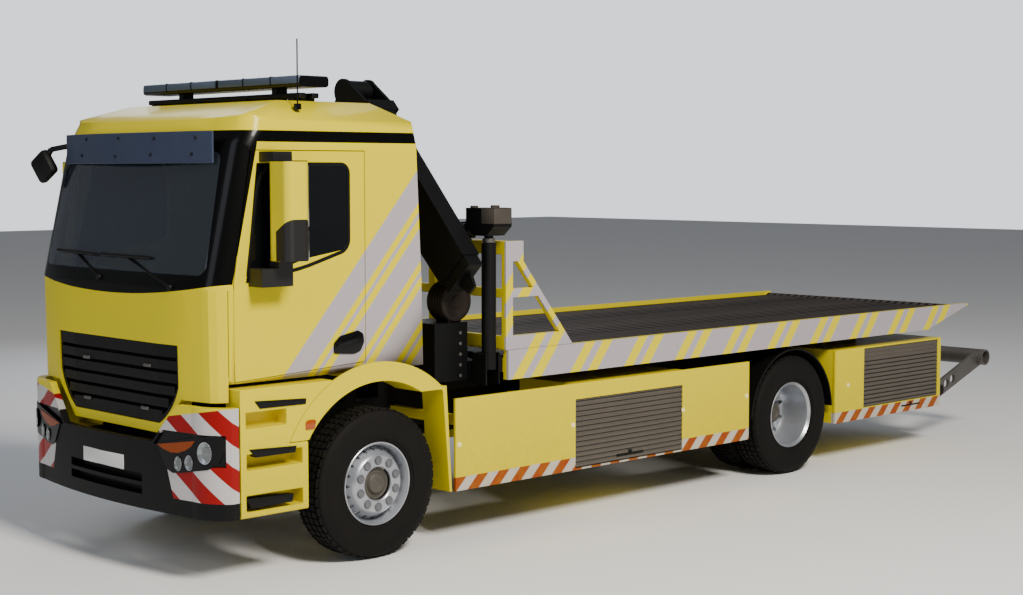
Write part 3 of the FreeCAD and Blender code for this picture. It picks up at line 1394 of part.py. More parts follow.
def make_cab_fittings():
    """Sun visor, roof light bar with antenna, seats, and dashboard with the steering wheel."""
    half = s.visor_half
    bow = s.visor_end - s.visor_nose
    radius = (half * half + bow * bow) / (bow * 2)
    visor = prism("visor", "plan", s.visor_bottom, s.visor_top, [
        (-half, s.visor_end), (0, s.visor_nose, radius), (half, s.visor_end, radius),
        (half, s.visor_end + s.visor_thickness), (0, s.visor_nose + s.visor_thickness, -radius),
        (-half, s.visor_end + s.visor_thickness, -radius)])
    bracket = block("visor_bracket", s.visor_bracket_x, s.visor_bracket_x + s.visor_bracket,
                    s.visor_bracket_front, s.visor_bracket_rear, s.visor_bracket_low,
                    s.visor_bracket_low + s.visor_bracket_height)
    node(fuse("visor_set", [visor, bracket, mirrored("visor_bracket_right", bracket)]), "sun_visor")
    bar = prism("light_bar_body", "side", -s.bar_half, s.bar_half,
                rectangle(s.bar_front, s.bar_rear, s.bar_bottom, s.bar_top))
    round_edges(bar, bar.Tip, s.bar_round, along("x"))
    foot = block("bar_foot", s.bar_foot_x, s.bar_foot_x + s.bar_foot_width, s.bar_foot_front, s.bar_foot_rear,
                 s.cab_crest + s.seat_gap, s.bar_bottom + s.bar_round)
    bar_set = fuse("bar_set", [bar, foot, mirrored("bar_foot_right", foot)])
    mast = rod("antenna_rod", "z", s.antenna_radius, s.antenna_base, s.antenna_top, x=s.antenna_x, y=s.antenna_y)
    base = rod("antenna_foot", "z", s.antenna_foot_radius, s.antenna_base,
               s.antenna_base + s.antenna_foot_height, x=s.antenna_x, y=s.antenna_y)
    equipment = doc.addObject("Part::Compound", "roof_set")
    equipment.Links = [bar_set, fuse("antenna", [mast, base])]
    node(equipment, "roof_equipment")
    floor = s.cab_foot + s.cab_floor + s.seat_gap
    low = s.seat_cushion_top - s.seat_cushion_height
    seat = new_body("seat")
    right = s.seat_inner_x + s.seat_width
    pad(seat, "side", s.seat_inner_x, right, [
        (s.seat_front, low), (s.seat_rear + s.seat_back_thickness, low),
        (s.seat_rear + s.seat_back_thickness * 1.6, s.seat_back_top),
        (s.seat_rear + s.seat_back_thickness * 0.6, s.seat_back_top),
        (s.seat_rear, s.seat_cushion_top), (s.seat_front, s.seat_cushion_top)])
    inset = s.seat_base_inset
    pad(seat, "side", s.seat_inner_x + inset, right - inset,
        rectangle(s.seat_front + inset, s.seat_rear + inset, floor, low))
    node(both_sides("seats_pair", seat), "seats")
    dash_front = s.firewall_front + s.firewall_thickness + s.seat_gap
    dash = prism("dashboard_body", "side", -s.dash_half, s.dash_half, [
        (dash_front, s.dash_bottom), (s.dash_rear - s.dash_slope, s.dash_bottom),
        (s.dash_rear, s.dash_top - s.dash_slope), (s.dash_rear - s.dash_slope / 2, s.dash_top),
        (dash_front, s.dash_top)])
    tilt = FreeCAD.Rotation(FreeCAD.Vector(1, 0, 0), -s.steering_tilt.value)
    wheel = doc.addObject("PartDesign::Body", "steering_wheel_rim")
    sides = int(s.rod_sides.value)
    pad(wheel, "plan", -s.steering_grip, s.steering_grip, facets(s.steering_radius + s.steering_grip, sides))
    pocket(wheel, "plan", -s.steering_grip * 2, s.steering_grip * 2,
           facets(s.steering_radius - s.steering_grip, sides))
    wheel.Placement = FreeCAD.Placement(FreeCAD.Vector(), tilt)
    place(wheel, s.steering_x, s.steering_y, s.steering_z)
    boss = doc.addObject("Part::Prism", "steering_boss")
    boss.Polygon = sides
    bind(boss, Polygon=s.rod_sides, Circumradius=s.steering_boss_radius, Height=s.steering_grip * 2)
    boss.Placement = FreeCAD.Placement(FreeCAD.Vector(), tilt)
    place(boss, s.steering_x, s.steering_y, s.steering_z - s.steering_grip)
    spoke = doc.addObject("Part::Box", "steering_spoke")
    bind(spoke, Length=s.steering_radius * 2, Width=s.steering_grip * 2, Height=s.steering_grip)
    spoke.Placement = FreeCAD.Placement(FreeCAD.Vector(), tilt)
    place(spoke, s.steering_x - s.steering_radius, s.steering_y - s.steering_grip,
          s.steering_z - s.steering_grip / 2)
    column = doc.addObject("Part::Prism", "steering_column")
    column.Polygon = sides
    bind(column, Polygon=s.rod_sides, Circumradius=s.steering_column_radius, Height=s.steering_column_length)
    down = FreeCAD.Rotation(FreeCAD.Vector(1, 0, 0), 180 - s.steering_tilt.value)
    column.Placement = FreeCAD.Placement(FreeCAD.Vector(), down)
    place(column, s.steering_x, s.steering_y, s.steering_z)
    node(fuse("dash_set", [dash, wheel, boss, spoke, column]), "dashboard")


def make_knuckle():
    """A steering knuckle: a fork round the axle's eye, its kingpin, and the spindle to the hub."""
    eye_half = s.kingpin_eye_height / 2
    gap = s.knuckle_running_gap
    low = s.tyre_radius - eye_half - gap
    high = s.tyre_radius + eye_half + gap
    knuckle = new_body("knuckle")
    web_x = s.kingpin_x + s.kingpin_eye_radius + gap
    half = s.kingpin_eye_radius
    end = s.hub_inner_x - s.seat_gap
    pad(knuckle, "front", -half, half, [
        (s.kingpin_x - half, low - s.knuckle_lug_height), (web_x, low - s.knuckle_lug_height),
        (end, s.tyre_radius - s.spindle_radius), (end, s.tyre_radius + s.spindle_radius),
        (web_x, high + s.knuckle_lug_height), (s.kingpin_x - half, high + s.knuckle_lug_height),
        (s.kingpin_x - half, high), (web_x, high), (web_x, low), (s.kingpin_x - half, low)])
    pad(knuckle, "plan", low - gap, high + gap, rings=[(s.kingpin_x, 0, s.kingpin_radius)])
    node(knuckle, "knuckle_left")
    node(mirrored("knuckle_twin", knuckle), "knuckle_right")


def revolve(body, corners):
    """Adds a solid turned about the body's X axis; a corner is (along the axle, radius)."""
    sketch = sketch_on(body, "front", 0)
    draw(sketch, corners)
    turned = body.newObject("PartDesign::Revolution", "turned")
    turned.Profile = sketch
    turned.ReferenceAxis = (sketch, ["H_Axis"])
    turned.Angle = 360
    return turned


def wheel_body(name, axle_y):
    """An empty body whose own X axis is the wheel's axle."""
    body = doc.addObject("PartDesign::Body", name)
    place(body, 0, axle_y, s.tyre_radius)
    return body


def rim(name, axle_y, low, high, back, face, inner_end):
    """A rim: its barrel from low to high, a disc with hand holes between back and face, and the hub."""
    body = wheel_body(name, axle_y)
    sides = int(s.rim_sides.value)
    seat = s.bead_radius - s.seat_gap
    over = s.cut_overrun
    bore = facets(seat - s.rim_wall, sides)
    hub = facets(s.hub_radius, int(s.hub_sides.value))
    pad(body, "side", low, high, facets(seat, sides))
    pocket(body, "side", low - over, back, bore)
    pocket(body, "side", face, high + over, bore)
    pad(body, "side", inner_end, face + s.hub_cap_reach, hub)
    wheel_holes(body, back, face)
    return body


def wheel_holes(body, reach_low, reach_high):
    """Hand holes and their pattern round the disc."""
    over = s.cut_overrun
    sketch = sketch_on(body, "side", reach_high + over)
    draw(sketch, rectangle(
        -s.hand_hole_width / 2, s.hand_hole_width / 2, s.hand_hole_circle - s.hand_hole_length / 2,
        s.hand_hole_circle + s.hand_hole_length / 2))
    hole = body.newObject("PartDesign::Pocket", "hand_hole")
    hole.Profile = sketch
    hole.Length = (reach_high - reach_low + over * 2).value
    bind(hole, Length=reach_high - reach_low + over * 2)
    pattern = body.newObject("PartDesign::PolarPattern", "hand_holes")
    pattern.Originals = [hole]
    x_axis = next(part for part in body.Origin.OriginFeatures if part.Role == "X_Axis")
    pattern.Axis = (x_axis, [""])
    pattern.Angle = 360
    pattern.Occurrences = int(s.hand_hole_count.value)
    bind(pattern, Occurrences=s.hand_hole_count)
    body.Tip = pattern
    return pattern


def make_tyres(name, axle_y, centres):
    """Tyres of one hub, open at the bead."""
    body = wheel_body(name, axle_y)
    half = s.tyre_width / 2
    over = s.cut_overrun
    for centre in centres:
        pad(body, "side", centre - half, centre + half, facets(s.tyre_radius, int(s.tyre_sides.value)))
    pocket(body, "side", centres[-1] - half - over, centres[0] + half + over,
           facets(s.bead_radius, int(s.rim_sides.value)))
    return body


def both_wheels(pieces):
    """Keeps the left side's wheel pieces and their mirror images as sub-parts."""
    for label, piece in pieces:
        node(piece, label + "left")
        node(mirrored(label + "twin", piece), label + "right")


def make_front_wheels():
    """Front rims with their hubs, and the tyres."""
    centre = s.wheel_centre_x
    face = centre + s.disc_offset_front
    half = s.tyre_width / 2 - s.rim_inset
    front_rim = rim("front_rim", 0, centre - half, centre + half, face - s.disc_thickness, face,
                    s.hub_inner_x)
    both_wheels([("rim_front_", front_rim), ("tyre_front_", make_tyres("front_tyre", 0, [centre]))])


def make_rear_wheels():
    """Twin rear rims bolted face to face on one hub, and their tyres."""
    outer = s.wheel_centre_x
    inner = s.wheel_centre_x - s.twin_spacing
    face = rear_face()
    half = s.tyre_width / 2 - s.rim_inset
    back = face - s.disc_thickness * 2
    rear_rims = rim("rear_rims", s.wheelbase, inner - half, outer + half, back, face, back)
    tyres = make_tyres("rear_tyres", s.wheelbase, [outer, inner])
    both_wheels([("rims_rear_", rear_rims), ("tyres_rear_", tyres)])


def make_tilt_frame():
    """The tilting sub-frame that the bed slides on, hinged on its rear tube."""
    inner = s.rail_outer_x - s.rail_flange
    low = s.rail_top + s.seat_gap
    rail = prism("tilt_rail", "side", inner, s.rail_outer_x,
                 rectangle(s.tilt_front, s.bed_pivot_y, low, s.tilt_top))
    pieces = [rail, mirrored("tilt_rail_right", rail)]
    pitch = (s.bed_pivot_y - s.tilt_front - s.tilt_cross_width * 2) / 3
    for number in range(4):
        start = s.tilt_front + pitch * number
        pieces.append(block(f"tilt_cross_{number}", -inner, inner, start, start + s.tilt_cross_width, low,
                            s.tilt_top - s.rail_web))
    at = {"y": s.bed_pivot_y, "z": s.bed_pivot_z}
    tube_half = s.rail_outer_x + s.bed_lug_thickness - s.moving_gap / 2
    pieces.append(rod("tilt_tube", "x", s.bed_pivot_radius, -tube_half, tube_half, **at))
    pin_half = s.rail_outer_x + s.bed_lug_thickness * 2 + s.moving_gap / 2
    pieces.append(rod("tilt_pin", "x", s.bed_pivot_pin, -pin_half, pin_half, **at))
    return node(fuse("tilt_frame_set", pieces), "tilt_frame")


def make_bed():
    """The sliding bed: side rails with a raised tail, a grooved plank floor, runners and cross beams."""
    rail = prism("bed_rail", "side", s.bed_half - s.bed_rail_thickness, s.bed_half, [
        (s.bed_front, s.bed_bottom), (s.bed_kick, s.bed_bottom), (s.bed_tip, s.bed_tip_bottom),
        (s.bed_tip, s.bed_rail_top), (s.bed_front, s.bed_rail_top)])
    half = s.bed_half - s.bed_rail_thickness
    plate_low = s.bed_floor_top - s.plank_height - s.bed_floor_plate
    groove_low = s.bed_floor_top - s.plank_height
    pitch = half * 2 / s.plank_count
    corners = [(-half, plate_low), (half, plate_low), (half, groove_low)]
    for number in range(int(s.plank_count.value)):
        right = half - pitch * number - s.plank_groove / 2
        left = half - pitch * (number + 1) + s.plank_groove / 2
        corners += [(right, groove_low), (right, s.bed_floor_top), (left, s.bed_floor_top), (left, groove_low)]
    corners.append((-half, groove_low))
    floor = prism("bed_floor", "front", s.bed_front, s.bed_floor_rear, corners)
    tail = prism("bed_tail", "side", -half, half, [
        (s.bed_kick, plate_low), (s.bed_kick, plate_low - s.cross_beam_height),
        (s.bed_floor_rear, plate_low - s.bed_floor_plate), (s.bed_tip - s.bed_rail_thickness, s.bed_tip_bottom),
        (s.bed_floor_rear, s.bed_floor_top), (s.bed_floor_rear, plate_low)])
    pieces = [rail, mirrored("bed_rail_right", rail), floor, tail]
    runner_inner = s.rail_outer_x - s.rail_flange / 2 - s.runner_width / 2
    runner = block("bed_runner", runner_inner, runner_inner + s.runner_width, s.bed_front, s.bed_kick,
                   s.tilt_top + s.seat_gap, plate_low)
    pieces += [runner, mirrored("bed_runner_right", runner)]
    step = (s.bed_kick - s.bed_front - s.cross_beam_width) / (s.cross_beam_count - 1)
    for number in range(int(s.cross_beam_count.value)):
        start = s.bed_front + step * number
        pieces.append(block(f"cross_beam_{number}", -half, half, start, start + s.cross_beam_width,
                            plate_low - s.cross_beam_height, plate_low))
    return node(fuse("bed_set", pieces), "bed_platform")


def make_headboard():
    """The headboard: braced side frames with open windows, and the beams across the bed's front."""
    low = s.bed_rail_top + s.seat_gap
    rear = s.board_foot_rear
    outer_x = s.bed_half - s.panel_gap
    inner_x = outer_x - s.board_plate
    frame = prism("board_frame", "side", inner_x, outer_x, [
        (s.board_front, low), (rear, low), (s.board_crest_rear, s.board_crest_low),
        (s.board_crest_rear, s.board_top), (s.board_front, s.board_top)])
    over = s.cut_overrun
    post = s.board_front + s.board_post
    brace = s.board_brace
    slope = (rear - s.board_crest_rear) / (s.board_crest_low - low)
    top = s.board_crest_low

    def inside(height):
        return rear - (height - low) * slope - brace

    pocket(frame, "side", inner_x - over, outer_x + over, [
        (post, s.board_bar_high), (inside(s.board_bar_high), s.board_bar_high), (inside(top), top), (post, top)])
    pocket(frame, "side", inner_x - over, outer_x + over, [
        (post, s.board_sill), (inside(s.board_sill), s.board_sill),
        (inside(s.board_bar_low), s.board_bar_low), (post, s.board_bar_low)])
    beam_rear = s.board_front + s.board_beam
    levels = [(s.board_top - s.board_beam, s.board_top), (s.board_bar_low, s.board_bar_high), (low, s.board_sill)]
    pieces = [frame, mirrored("board_frame_right", frame)]
    for number, (bottom, top_level) in enumerate(levels):
        end = beam_rear if number == 0 else s.board_front + s.board_plate
        pieces.append(block(f"board_beam_{number}", -inner_x, inner_x, s.board_front, end, bottom, top_level))
    for side in (-1, 1):
        middle = s.board_post_x * side
        pieces.append(block("board_post", middle - s.board_post / 2, middle + s.board_post / 2, s.board_front,
                            s.board_front + s.board_plate, low, s.board_top))
    return node(fuse("board_set", pieces), "headboard")


def make_crane():
    """Loading crane folded behind the cab: column, valve cabinet, inner boom up, outer boom down from it."""
    over = s.cut_overrun
    y_low = s.crane_y - s.boom_depth / 2
    y_high = s.crane_y + s.boom_depth / 2
    housing_low = s.beam_z - s.beam_housing / 2
    housing_high = s.beam_z + s.beam_housing / 2
    housing = block("beam_housing_outer", -s.beam_housing_half, s.beam_housing_half,
                    s.leg_y - s.beam_housing / 2, s.leg_y + s.beam_housing / 2, housing_low, housing_high)
    hole_half = s.beam_housing / 2 - s.beam_wall
    bore = block("beam_housing_bore", -s.beam_housing_half - over, s.beam_housing_half + over,
                 s.leg_y - hole_half, s.leg_y + hole_half, s.beam_z - hole_half, s.beam_z + hole_half)
    deck = block("crane_deck", -s.rail_outer_x, s.rail_outer_x, s.crane_y - s.column_depth / 2,
                 s.leg_y + s.beam_housing / 2, s.rail_top, housing_low)
    post_y = (s.crane_y - s.column_depth / 2, s.crane_y + s.column_depth / 2)
    arm = block("crane_arm", s.column_x - s.column_width / 2, -s.rail_outer_x, *post_y,
                housing_low - s.column_width / 2, housing_low)
    column = prism("crane_column", "front", *post_y, [
        (s.column_x - s.column_width / 2, housing_low), (s.column_x + s.column_width / 2, housing_low),
        (s.column_x + s.column_head / 2, s.column_top), (s.column_x - s.column_head / 2, s.column_top)])
    cheek_gap = s.boom_depth / 2 + s.column_cheek_gap
    cheeks = new_body("column_cheeks")
    for start in (s.crane_y - cheek_gap - s.column_cheek, s.crane_y + cheek_gap):
        pad(cheeks, "front", start, start + s.column_cheek, [
            (s.column_x - s.column_head / 2, s.column_top - over), (s.column_x + s.column_head / 2, s.column_top - over),
            (s.column_x + s.column_head / 2, s.boom_pivot_z),
            (s.column_x - s.column_head / 2, s.boom_pivot_z, s.column_head / 2 + s.seat_gap)])
        if start.value > s.crane_y.value:
            break
        pad(cheeks, "front", s.crane_y - cheek_gap - s.column_cheek, s.crane_y + cheek_gap + s.column_cheek,
            rectangle(s.column_x - s.column_head / 2, s.column_x + s.column_head / 2,
                      s.column_top - over * 2, s.column_top - over))
    pin = rod("column_pin", "y", s.boom_pin_radius, s.crane_y - cheek_gap - s.column_cheek,
              s.crane_y + cheek_gap + s.column_cheek, x=s.column_x, z=s.boom_pivot_z)
    valves = block("valve_cabinet", s.valve_inner_x, s.valve_outer_x, s.valve_front,
                   s.leg_y - s.beam_housing / 2, s.valve_bottom, s.valve_top)
    base = fuse("crane_base_set", [
        cut("beam_housing_tube", housing, bore), deck, arm, column, cheeks, pin, valves])
    node(base, "crane_base")

    run = s.apex_x - s.column_x
    rise = s.apex_z - s.boom_pivot_z
    length = root(run * run + rise * rise)
    lean = angle_of(rise, run)
    inner = boom_body("inner_boom_body", s.column_x, s.boom_pivot_z, lean)
    eye = s.inner_boom_height / 2
    pad(inner, "front", -s.boom_depth / 2, s.boom_depth / 2, [
        (0, -eye * 0.8), (length, -eye * 0.7), (length, eye * 0.7), (length * 0.3, eye), (0, eye * 0.8)])
    pad(inner, "front", -s.boom_depth / 2, s.boom_depth / 2, rings=[(0, 0, eye * 0.8)])
    pad(inner, "front", -s.boom_depth / 2, s.boom_depth / 2, rings=[(length, 0, eye * 0.7)])
    pocket(inner, "front", -s.boom_depth / 2 - over, s.boom_depth / 2 + over, rings=[
        (0, 0, s.boom_pin_radius + s.boom_pin_clearance), (length, 0, s.boom_pin_radius + s.boom_pin_clearance)])
    node(inner, "inner_boom")

    fall = s.apex_z - s.boom_tip_z
    out = s.boom_tip_x - s.apex_x
    reach = root(fall * fall + out * out)
    droop = -angle_of(fall, out)
    outer = boom_body("outer_boom_body", s.apex_x, s.apex_z, droop)
    depth = s.boom_depth / 2
    eye = s.knuckle_eye
    cheek = s.knuckle_cheek
    gap = s.column_cheek_gap
    start = s.inner_boom_height
    half = s.outer_boom_height / 2
    drop = s.outer_boom_height * 0.1
    for low_level in (-depth - gap - cheek, depth + gap):
        pad(outer, "front", low_level, low_level + cheek, [
            (0, -eye), (start * 1.4, -half - drop), (start * 1.4, half - drop), (0, eye)])
        pad(outer, "front", low_level, low_level + cheek, rings=[(0, 0, eye)])
        if low_level.value < 0:
            pad(outer, "front", -depth - gap - cheek, depth + gap + cheek, rectangle(
                start, start * 1.4, -half - drop, half - drop))
            pad(outer, "front", -depth - gap - cheek, depth + gap + cheek,
                rings=[(0, 0, s.boom_pin_radius)])
    box_half = s.outer_boom_depth / 2
    pad(outer, "front", -box_half, box_half, [
        (start, -half - drop), (reach, -half * 0.8 - drop), (reach, half * 0.8 - drop), (start, half - drop)])
    wall = s.outer_boom_wall
    pocket(outer, "front", -box_half + wall, box_half - wall, rectangle(
        start * 1.4 + wall, reach + over, -half * 0.8 - drop + wall, half * 0.8 - drop - wall))
    node(outer, "outer_boom")

    extension = boom_body("extension_body", s.apex_x, s.apex_z, droop)
    slack = wall + s.seat_gap
    tip = reach + s.extension_reach
    ext_half = box_half - slack
    pad(extension, "front", -ext_half, ext_half, rectangle(
        reach - s.extension_length + s.extension_reach, tip, -half * 0.8 - drop + slack, half * 0.8 - drop - slack))
    pocket(extension, "front", -ext_half + s.extension_wall, ext_half - s.extension_wall, rectangle(
        reach - s.extension_length, tip - s.extension_wall, -half * 0.8 - drop + slack + s.extension_wall,
        half * 0.8 - drop - slack - s.extension_wall))
    pad(extension, "front", -s.extension_wall, s.extension_wall, [
        (tip - s.extension_wall, -half * 0.4 - drop), (tip + s.hook_plate, -half * 0.2 - drop),
        (tip + s.hook_plate, half * 0.2 - drop), (tip - s.extension_wall, half * 0.4 - drop)])
    node(extension, "boom_extension")


def boom_body(name, x, z, lean):
    """An empty body whose X axis runs along a boom that leans up by an angle, its pin at the origin."""
    body = doc.addObject("PartDesign::Body", name)
    body.Placement.Rotation = FreeCAD.Rotation(FreeCAD.Vector(0, -1, 0), lean.value)
    body.setExpression("Placement.Rotation.Angle", lean.formula if lean.value > 0 else (-lean).formula)
    if lean.value < 0:
        body.Placement.Rotation = FreeCAD.Rotation(FreeCAD.Vector(0, 1, 0), -lean.value)
    place(body, x, s.crane_y, z)
    return body


def make_stabilisers():
    """Slide-out stabiliser beams, and the swing-up legs that stand on end beside them."""
    half = s.beam_housing / 2 - s.beam_wall - s.seat_gap
    tube = block("stabiliser_beam", s.beam_start, s.beam_end, s.leg_y - half, s.leg_y + half,
                 s.beam_z - half, s.beam_z + half)
    ear_inner = s.leg_radius + s.ear_gap
    ears = new_body("stabiliser_ears")
    for low in (s.leg_y - ear_inner - s.ear_thickness, s.leg_y + ear_inner):
        pad(ears, "front", low, low + s.ear_thickness, rectangle(
            s.beam_end - s.beam_wall, s.leg_x + s.ear_outer * 0.7, s.ear_bottom, s.ear_top))
        if low.value < s.leg_y.value:
            pad(ears, "front", s.leg_y - ear_inner - s.ear_thickness, s.leg_y + ear_inner + s.ear_thickness,
                rectangle(s.beam_end - s.beam_wall, s.beam_end, s.ear_bottom, s.ear_top))
            pad(ears, "front", s.leg_y - ear_inner - s.ear_thickness, s.leg_y + ear_inner + s.ear_thickness,
                rings=[(s.leg_x, s.leg_pivot_z, s.leg_pin_radius)])
    beam = fuse("stabiliser_set", [tube, ears])
    leg_tube = rod("leg_tube", "z", s.leg_radius, s.leg_pivot_z - s.leg_tail, s.leg_top, x=s.leg_x, y=s.leg_y)
    leg_bore = rod("leg_bore", "y", s.leg_pin_radius + s.boom_pin_clearance, s.leg_y - s.leg_radius * 2,
                   s.leg_y + s.leg_radius * 2, x=s.leg_x, z=s.leg_pivot_z)
    neck = rod("leg_rod", "z", s.leg_rod_radius, s.leg_top, s.leg_rod_top, x=s.leg_x, y=s.leg_y)
    foot = prism("leg_foot", "front", s.leg_y - s.foot_half, s.leg_y + s.foot_half, [
        (s.leg_x - s.foot_neck, s.leg_rod_top), (s.leg_x + s.foot_neck, s.leg_rod_top),
        (s.leg_x + s.foot_half_x, s.leg_rod_top + s.foot_neck), (s.leg_x + s.foot_half_x, s.foot_top),
        (s.leg_x - s.foot_half_x, s.foot_top), (s.leg_x - s.foot_half_x, s.leg_rod_top + s.foot_neck)])
    leg = cut("leg_open", fuse("leg_set", [leg_tube, neck, foot]), leg_bore)
    for side in ("left", "right"):
        for label, piece in (("stabiliser_beam_", beam), ("stabiliser_leg_", leg)):
            if side == "left":
                node(piece, label + side)
            else:
                node(mirrored(label + "twin", piece), label + side)


def check_and_write():
    """Stops if any object of the document failed, and writes every sub-part as a STEP file."""
    doc.recompute()
    failed = [f"{thing.Name} ({thing.Label}) is {thing.State}" for thing in doc.Objects
              if "Invalid" in thing.State or "Error" in thing.State]
    if failed:
        raise SystemExit("; ".join(failed))
    for piece in nodes:
        if piece.Shape.isNull() or not piece.Shape.isValid() or not piece.Shape.Solids:
            raise SystemExit(f"{piece.Label} has no valid shape")
    os.makedirs("parts", exist_ok=True)
    for piece in nodes:
        piece.Shape.exportStep(f"parts/{piece.Label}.step")
    print(f"{len(nodes)} sub-parts written")


make_frame_rails()
make_cab_mounts()
make_front_axle()
make_rear_axle()
make_engine()
make_front()
make_steps()
make_fenders()
make_side_panels()
make_shutters()
make_rear_guards()
make_tail_bar()
make_cab()
make_cab_fittings()
make_knuckle()
make_front_wheels()
make_rear_wheels()
make_tilt_frame()
make_bed()
make_headboard()
make_crane()
make_stabilisers()
check_and_write()
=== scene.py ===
# %% [markdown]
# # A slide-bed recovery truck
# The truck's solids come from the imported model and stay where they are. This lesson dresses them: it sets
# the camera and the light, mixes one finish for each real material, gives every solid its finish, and then
# models what a solid is too plain for, such as tread blocks, wheel nuts, lamps and wipers.

import math

import bpy
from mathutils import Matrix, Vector


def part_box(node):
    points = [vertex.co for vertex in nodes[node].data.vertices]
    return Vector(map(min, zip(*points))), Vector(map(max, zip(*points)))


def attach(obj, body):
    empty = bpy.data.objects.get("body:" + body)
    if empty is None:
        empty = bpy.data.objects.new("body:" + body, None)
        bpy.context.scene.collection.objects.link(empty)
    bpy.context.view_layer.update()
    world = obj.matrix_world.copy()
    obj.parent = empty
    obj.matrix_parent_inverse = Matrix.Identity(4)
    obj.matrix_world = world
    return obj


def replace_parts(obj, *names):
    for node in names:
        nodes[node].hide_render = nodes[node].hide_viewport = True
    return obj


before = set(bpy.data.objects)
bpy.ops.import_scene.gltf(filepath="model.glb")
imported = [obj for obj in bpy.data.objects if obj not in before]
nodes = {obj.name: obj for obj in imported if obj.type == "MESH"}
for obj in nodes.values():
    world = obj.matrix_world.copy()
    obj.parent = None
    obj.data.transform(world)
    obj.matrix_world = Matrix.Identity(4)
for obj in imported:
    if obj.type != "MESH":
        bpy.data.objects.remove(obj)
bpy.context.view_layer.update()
FRONT_AXLE = -3.4125
REAR_AXLE = 1.3875
WHEEL_RADIUS = 0.532

# %% [markdown]
# ## Camera
# The photograph is taken from the front left and from 2.7 m up, with a lens of about 59 mm. The camera could
# be placed by eye; here its place and its two angles are the ones that were solved from the wheels, so that
# each edge falls where it does in the photograph.

# %% Camera
CAMERA_PLACE = (10.246, -10.8095, 2.725)
CAMERA_YAW = 46.063
CAMERA_PITCH = 4.335
bpy.ops.object.camera_add(
    location=CAMERA_PLACE,
    rotation=(math.radians(90 - CAMERA_PITCH), 0, math.radians(CAMERA_YAW)))
camera = bpy.context.object
camera.name = "camera"
camera.data.sensor_width = 36
camera.data.lens = 58.96
camera.data.clip_end = 200
bpy.context.scene.camera = camera
print("camera:", CAMERA_PLACE, "lens:", camera.data.lens)

# %% [markdown]
# ## Tools for finishes
# A finish is a small network of shader nodes. It could be drawn by hand in the shader editor. Here one
# function adds any node with its settings and links, so that a recipe reads from top to bottom and can be
# used again with other numbers. Noise takes its scale from a grain in millimetres, and foil is cut by masks:
# a mask is 1 where each of some values lies between its limits.


# %% Tools for finishes
def linear(code):
    """A linear colour from an sRGB hex code."""
    parts = [int(code[i:i + 2], 16) / 255 for i in (1, 3, 5)]
    return tuple(p / 12.92 if p <= 0.04045 else ((p + 0.055) / 1.055) ** 2.4 for p in parts) + (1.0,)


def wire(node, values):
    """Links sockets to a node's inputs, and sets plain values on them."""
    for key, value in values.items():
        if isinstance(value, bpy.types.NodeSocket):
            node.id_data.links.new(value, node.inputs[key])
        else:
            node.inputs[key].default_value = value


def add(tree, kind, values=None, out=0, **settings):
    """Adds one node with its settings and links, and gives one of its outputs."""
    made = tree.nodes.new("ShaderNode" + kind)
    for key, value in settings.items():
        setattr(made, key, value)
    wire(made, values or {})
    return made.outputs[out]


def new_finish(name):
    """An empty material, its node tree, its shader and its object coordinates."""
    material = bpy.data.materials.new(name)
    material.use_nodes = True
    tree = material.node_tree
    print("finish:", name)
    return material, tree, tree.nodes["Principled BSDF"], add(tree, "TexCoord", out="Object")


def where(tree, *tests):
    """A mask that is 1 where each value lies above its low limit and below its high one."""
    mask = None
    for value, low, high in tests:
        for limit, operation in ((low, "GREATER_THAN"), (high, "LESS_THAN")):
            if limit is not None:
                held = add(tree, "Math", {0: value, 1: limit}, operation=operation)
                mask = add(tree, "Math", {0: mask, 1: held}, operation="MULTIPLY") if mask else held
    return mask


def layered(tree, colour, *layers):
    """Lays colours over a first one, each through its mask."""
    for mask, over in layers:
        colour = add(tree, "Mix", {0: mask, 6: colour, 7: over}, 2, data_type="RGBA")
    return colour


def slant(tree, along, rise, slope):
    """A coordinate across diagonal stripes of a slope."""
    climb = add(tree, "Math", {0: along, 1: slope}, operation="MULTIPLY")
    return add(tree, "Math", {0: rise, 1: climb}, operation="SUBTRACT")


def repeat(tree, value, period):
    """Where a value lies within its period, from 0 to 1."""
    turns = add(tree, "Math", {0: value, 1: period}, operation="DIVIDE")
    return add(tree, "Math", {0: turns}, operation="FRACT")


# %% [markdown]
# ## Paint
# The body is sheet steel in two coats: a bright lemon pigment under clear lacquer. Lacquer reflects sharply,
# the pigment under it hardly at all, and sprayed paint has a faint orange peel with waves of about 4 mm,
# drawn here at 9 mm so that it shows. Road dust makes the lowest metre duller.
# The silver bands and the chevrons are foil on that paint, so they are colours of the same material.

# %% Painted sheet
YELLOW = linear("#DCCB00")
SILVER_FOIL = linear("#A9A2A8")
RED_FOIL = linear("#8E0408")
WHITE_FOIL = linear("#BDB9B8")
SEAM_BLACK = linear("#050505")
PEEL_MM = 9
DUST_FOOT = 0.35
DUST_TOP = 1.1


